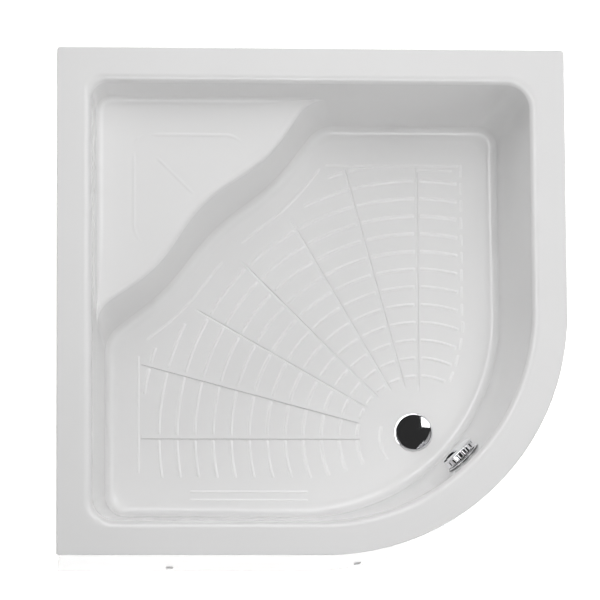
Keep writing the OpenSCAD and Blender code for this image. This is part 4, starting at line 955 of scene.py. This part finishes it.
# Cap of the trap
CAP_LOW, CAP_HIGH, CAP_R, CAP_RIDGES = 77.0, 88.0, 42, 36
profile = [(0, CAP_HIGH - 1.5), (26, CAP_HIGH - 1.5), (28, CAP_HIGH), (40.6, CAP_HIGH),
           (CAP_R, CAP_HIGH - 1.4)]
profile += [(CAP_R, mix(CAP_HIGH - 2.4, CAP_LOW + 1.4, i / 5)) for i in range(6)]
profile += [(41, CAP_LOW), (38.1, CAP_LOW), (38.1, 84), (0, 84)]
verts, faces = lathe(profile, 288, ridged(CAP_R, CAP_RIDGES, 1.1, CAP_LOW + 1, CAP_HIGH - 2))
piece("trap_cap_ridged", verts, faces, PLASTIC, "tray", ["trap_cap"], "waste_plastic",
      place=moved(WASTE[0], WASTE[1] - TRAP_OFFSET, 0), angle=40)

# Levelling feet: threaded bolts with a hexagonal collar, chamfered nuts and moulded pads
FEET = [(-240, 240), (375, 240), (375, -100), (100, -375), (-240, -375)]
RAIL_LOW, RAIL_HIGH, FLATS = 86.0, 111.0, 17.0
NUT_H, LOCK_H = 8.0, 6.0
BOLT_R, FOOT_TRAVEL, PAD_H = 5.0, 18, 12.0


def hexagon(r, z, a):
    """Cuts flats on what stands out beyond the bolt."""
    return min(r, FLATS / 2 / cos((a + 30) % 60 - 30)) if r > BOLT_R + 1 else r


def hex_body(low, high, bore):
    """A nut or collar, chamfered at both ends."""
    corner = FLATS / 2 / cos(30)
    return lathe([(bore, low), (FLATS / 2 - 0.2, low), (corner, low + 0.9), (corner, high - 0.9),
                  (FLATS / 2 - 0.2, high), (bore, high)], 72, hexagon)


def thread(low, high, pitch=1.5, depth=0.45, n=24, steps=5):
    """A bolt with a helical thread that fades out at both ends, and a chamfer at the top."""
    rings, count = [], round((high - low) / pitch * steps)
    for i in range(count + 1):
        z = mix(low, high, i / count)
        fade = min(1.0, (high - z) / 1.5, (z - low) / 1.5)
        chamfer = (1.0 - min(1.0, (high - z) / 1.0)) * 0.8
        ring = []
        for j in range(n):
            t = (z / pitch - j / n) % 1
            r = BOLT_R - depth * abs(2 * t - 1) * fade - chamfer
            ring.append((r * cos(360 * j / n), r * sin(360 * j / n), z))
        rings.append(ring)
    v = [p for r in rings for p in r]
    f = tube_faces(len(rings), n) + [tuple(range(n - 1, -1, -1)), tuple(range(len(v) - n, len(v)))]
    return v, outward(v, f)


bolt = thread(4.3, RAIL_LOW + FOOT_TRAVEL + 3)
add(*bolt, hex_body(PAD_H + 0.3, PAD_H + 5.3, 4.6))
profile = [(0, 0), (21.5, 0), (22.5, 1), (22.5, 4), (10, PAD_H), (5.1, PAD_H), (5.1, 4), (0, 4)]
pad = lathe(soften(profile, 0.8), 96)
for i, (x, y) in enumerate(FEET, 1):
    piece("foot_bolt_threaded_%d" % i, *bolt, BOLT, "foot_%d" % i, ["foot_bolt_%d" % i], "fastener_steel",
          place=moved(x, y, 0))
    piece("foot_pad_moulded_%d" % i, *pad, FOOT, "foot_%d" % i, ["foot_pad_%d" % i], "foot_plastic",
          place=moved(x, y, 0))

for name, node, low, high in (("frame_nuts_hex", "frame_nuts", RAIL_LOW - NUT_H, RAIL_LOW),
                              ("lock_nuts_hex", "lock_nuts", RAIL_LOW - NUT_H - LOCK_H, RAIL_LOW - NUT_H)):
    verts, faces = [], []
    for x, y in FEET:
        add(verts, faces, hex_body(low, high, 5.05), in_mm(moved(x, y, 0)))
    piece(name, verts, faces, BOLT, "tray", [node], "fastener_steel")

# Weld beads where the cross tubes meet the rails
RAILS, CROSS, HALF_TUBE = (240, -100), (-240, 100), 12.5


def bead(a, b, radius=2.0, pitch=2.6):
    """A weld bead from a to b, with the ripples of its pitch."""
    n = round(math.dist(a, b) / pitch * 4)
    path = [tuple(mix(a[c], b[c], i / n) for c in range(3)) for i in range(n + 1)]
    return tube(path, lambda i: radius * (0.55 if i in (0, n) else 0.86 + 0.14 * cos(360 * i / 4)), 8)


verts, faces = [], []
for x in CROSS:
    for y in RAILS:
        for side in (-1, 1):
            edge_y = y + side * HALF_TUBE
            for end in (-1, 1):
                at = (x + end * HALF_TUBE, edge_y)
                add(verts, faces, bead((*at, RAIL_LOW + 0.5), (*at, RAIL_HIGH - 2.5)))
            low = RAIL_LOW + 1.4
            add(verts, faces, bead((x - HALF_TUBE, edge_y, low), (x + HALF_TUBE, edge_y, low)))
piece("weld_beads", verts, faces, WELD, "tray", [], "frame_steel")

# Screws of the panel under their domed covers, two on each side of the diagonal
PANEL_OUT, SCREW_Z = SIDE - SHELL - 0.6, RAIL_LOW + HALF_TUBE
ARC_OUT = PANEL_OUT - FRONT_C
SWING = math.degrees(math.asin((100 - FRONT_C) / (ARC_OUT - 4)))
profile = soften([(0, -10), (2.5, -10), (2.5, 0.1), (7, 0.1), (6.9, 1.2), (5.2, 2.6), (2.5, 3.1), (0, 3.1)],
                 0.5)
cover = lathe(profile, 64)
verts, faces = [], []
on_arc = (FRONT_C + ARC_OUT * cos(SWING), -FRONT_C - ARC_OUT * sin(SWING))
for x, y, a in ((PANEL_OUT, 240, 0), (*on_arc, -SWING)):
    add(verts, faces, cover, in_mm(moved(x, y, SCREW_Z) @ turned(a, "Z") @ turned(90, "Y")))
    add(verts, faces, cover, in_mm(moved(-y, -x, SCREW_Z) @ turned(-90 - a, "Z") @ turned(90, "Y")))
piece("panel_screw_caps", verts, faces, CAP, "tray", ["panel_screws"], "cap_plastic")

# Control cable on the points of its CAD solid
CABLE_Y, CABLE_Z, GLAND_Y, CABLE_R = 41.5, FLOOR - 50 + 19, 25.0, 2.5
CABLE_POINTS = [(35.3, CABLE_Y, CABLE_Z), (65, CABLE_Y, CABLE_Z), (92, 37, CABLE_Z + 3),
                (114, 33, CABLE_Z + 16), (124, 30, CABLE_Z + 45), (HOSE_REACH, 27, CABLE_Z + 90),
                (HOSE_REACH, GLAND_Y, CABLE_Z + 135), (HOSE_REACH, GLAND_Y, HOSE_TOP)]


def smooth(points, steps):
    """A smooth curve through the points."""
    out, n = [], len(points)
    for i in range(n - 1):
        a, b, c, d = (Vector(points[k]) for k in (max(i - 1, 0), i, i + 1, min(i + 2, n - 1)))
        for k in range(steps):
            t = k / steps
            out.append(0.5 * (2 * b + (c - a) * t + (2 * a - 5 * b + 4 * c - d) * t ** 2
                              + (3 * b - a - 3 * c + d) * t ** 3))
    return [tuple(p) for p in out] + [points[-1]]


verts, faces = tube(smooth(CABLE_POINTS, 10), CABLE_R, 20)
piece("control_cable_round", verts, faces, CABLE, "tray", ["control_cable"], "cable_sheath",
      place=ON_WASTE, angle=50)

# Stage: a bright floor, where the feet end when they are screwed right out
GLOW = 0.75
FLOOR_FAR, FLOOR_LOW = 9, -(FOOT_TRAVEL + 0.2) / 1000
me = bpy.data.meshes.new("studio_floor")
corners = [(x * FLOOR_FAR, y * FLOOR_FAR, FLOOR_LOW) for x, y in ((-1, -1), (1, -1), (1, 1), (-1, 1))]
me.from_pydata(corners, [], [(0, 1, 2, 3)])
me.materials.append(GROUND)
studio_floor = bpy.data.objects.new("studio_floor", me)
bpy.context.scene.collection.objects.link(studio_floor)
shine = GROUND.node_tree.nodes["Principled BSDF"]
shine.inputs["Emission Color"].default_value = (1, 1, 1, 1)
shine.inputs["Emission Strength"].default_value = GLOW

# The room is dark, but for a soft band of light all round
scene = bpy.context.scene
world = bpy.data.worlds.new("studio")
scene.world = world
world.use_nodes = True
nodes, link = world.node_tree.nodes, world.node_tree.links
way = nodes.new("ShaderNodeTexCoord")
split = nodes.new("ShaderNodeSeparateXYZ")
link.new(way.outputs["Generated"], split.inputs["Vector"])
sky = nodes.new("ShaderNodeValToRGB")
sky.color_ramp.interpolation = "EASE"
BAND = ((0.0, 0.2), (0.3, 0.10), (0.42, 0.25), (0.58, 0.03))
sky.color_ramp.elements[0].position, sky.color_ramp.elements[1].position = BAND[0][0], BAND[-1][0]
for stop, level in BAND[1:-1]:
    sky.color_ramp.elements.new(stop)
for element, (stop, level) in zip(sky.color_ramp.elements, BAND):
    element.color = (level, level, level, 1)
link.new(split.outputs["Z"], sky.inputs["Fac"])
link.new(sky.outputs["Color"], nodes["Background"].inputs["Color"])


def softbox(name, at, to, size, power, diffuse=True, shine=True):
    """An area light that looks at a point. It can leave out its diffuse light or its reflection."""
    light = bpy.data.lights.new(name, "AREA")
    light.shape = "RECTANGLE"
    light.size, light.size_y = size
    light.energy = power
    ob = bpy.data.objects.new(name, light)
    bpy.context.scene.collection.objects.link(ob)
    ob.location = at
    ob.rotation_mode = "QUATERNION"
    ob.rotation_quaternion = (Vector(to) - Vector(at)).to_track_quat("-Z", "Y")
    ob.visible_diffuse, ob.visible_glossy = diffuse, shine


# Light on the tub from all round: place, width and power. The one at the back is also seen in the shine.
AIM_LOW = (0, 0, 0.25)
for name, at, width, power in (("over_front", (0.45, -0.2, 2.6), 1.2, 19),
                               ("over_back", (0.2, 0.8, 2.8), 1.2, 17),
                               ("back", (0, 2.57, 3.3), 1.5, 17.3),
                               ("back_right", (1.62, 1.62, 3.53), 1.4, 10),
                               ("back_left", (-1.8, 1.8, 3.3), 1.4, 8),
                               ("low_back_left", (-2.56, 2.56, 1.94), 1.6, 22.5),
                               ("low_front_right", (2.56, -2.56, 1.94), 1.6, 17.5),
                               ("low_front", (0, -3.63, 1.94), 1.6, 10)):
    softbox(name, at, AIM_LOW, (width, width), power, shine=name == "back")

# A low strip for the front panel
softbox("skirt_front", (-0.6, -3.0, 0.18), (0, -0.4, 0.2), (3.0, 0.3), 6)

# Seen in the shine only: a card up to the right, and strips all round for the rounded edges
softbox("card", (1.72, 1.18, 3.24), (1.72, 1.18, 0), (1.3, 1.3), 17, diffuse=False)
STRIPS, STRIP_OUT, STRIP_HIGH = 8, 3.2, 2.6
for i in range(STRIPS):
    a = 360 // STRIPS * i
    power = 40 if 135 <= a <= 270 else 21
    softbox("strip_%d" % (i + 1), (STRIP_OUT * cos(a), STRIP_OUT * sin(a), STRIP_HIGH), (0, 0, 0.3),
            (2.6, 1.2), power, diffuse=False)

# Camera: nearly straight down, a little from the left and the front, turned by a third of a degree
DISTANCE, ROLL, MM_PER_PIXEL, IMAGE = 8.0, -0.3418, 1.757, 600
AIM = Vector((-0.02296, -0.00055, 0.41))
back = Vector((-0.07198, -0.14286, 1)).normalized()
flat_right = Vector((0, 1, 0)).cross(back).normalized()
flat_up = back.cross(flat_right)
right = cos(ROLL) * flat_right + sin(ROLL) * flat_up
cam_data = bpy.data.cameras.new("camera")
cam = bpy.data.objects.new("camera", cam_data)
scene.collection.objects.link(cam)
cam.location = AIM + back * DISTANCE
cam.rotation_mode = "QUATERNION"
cam.rotation_quaternion = Matrix((right, back.cross(right), back)).transposed().to_quaternion()
cam_data.sensor_width = 36.0
cam_data.lens = cam_data.sensor_width * DISTANCE * 1000 / MM_PER_PIXEL / IMAGE
cam_data.clip_start, cam_data.clip_end = 0.1, 100.0
scene.camera = cam
scene.view_settings.view_transform = "Standard"
scene.view_settings.look = "None"
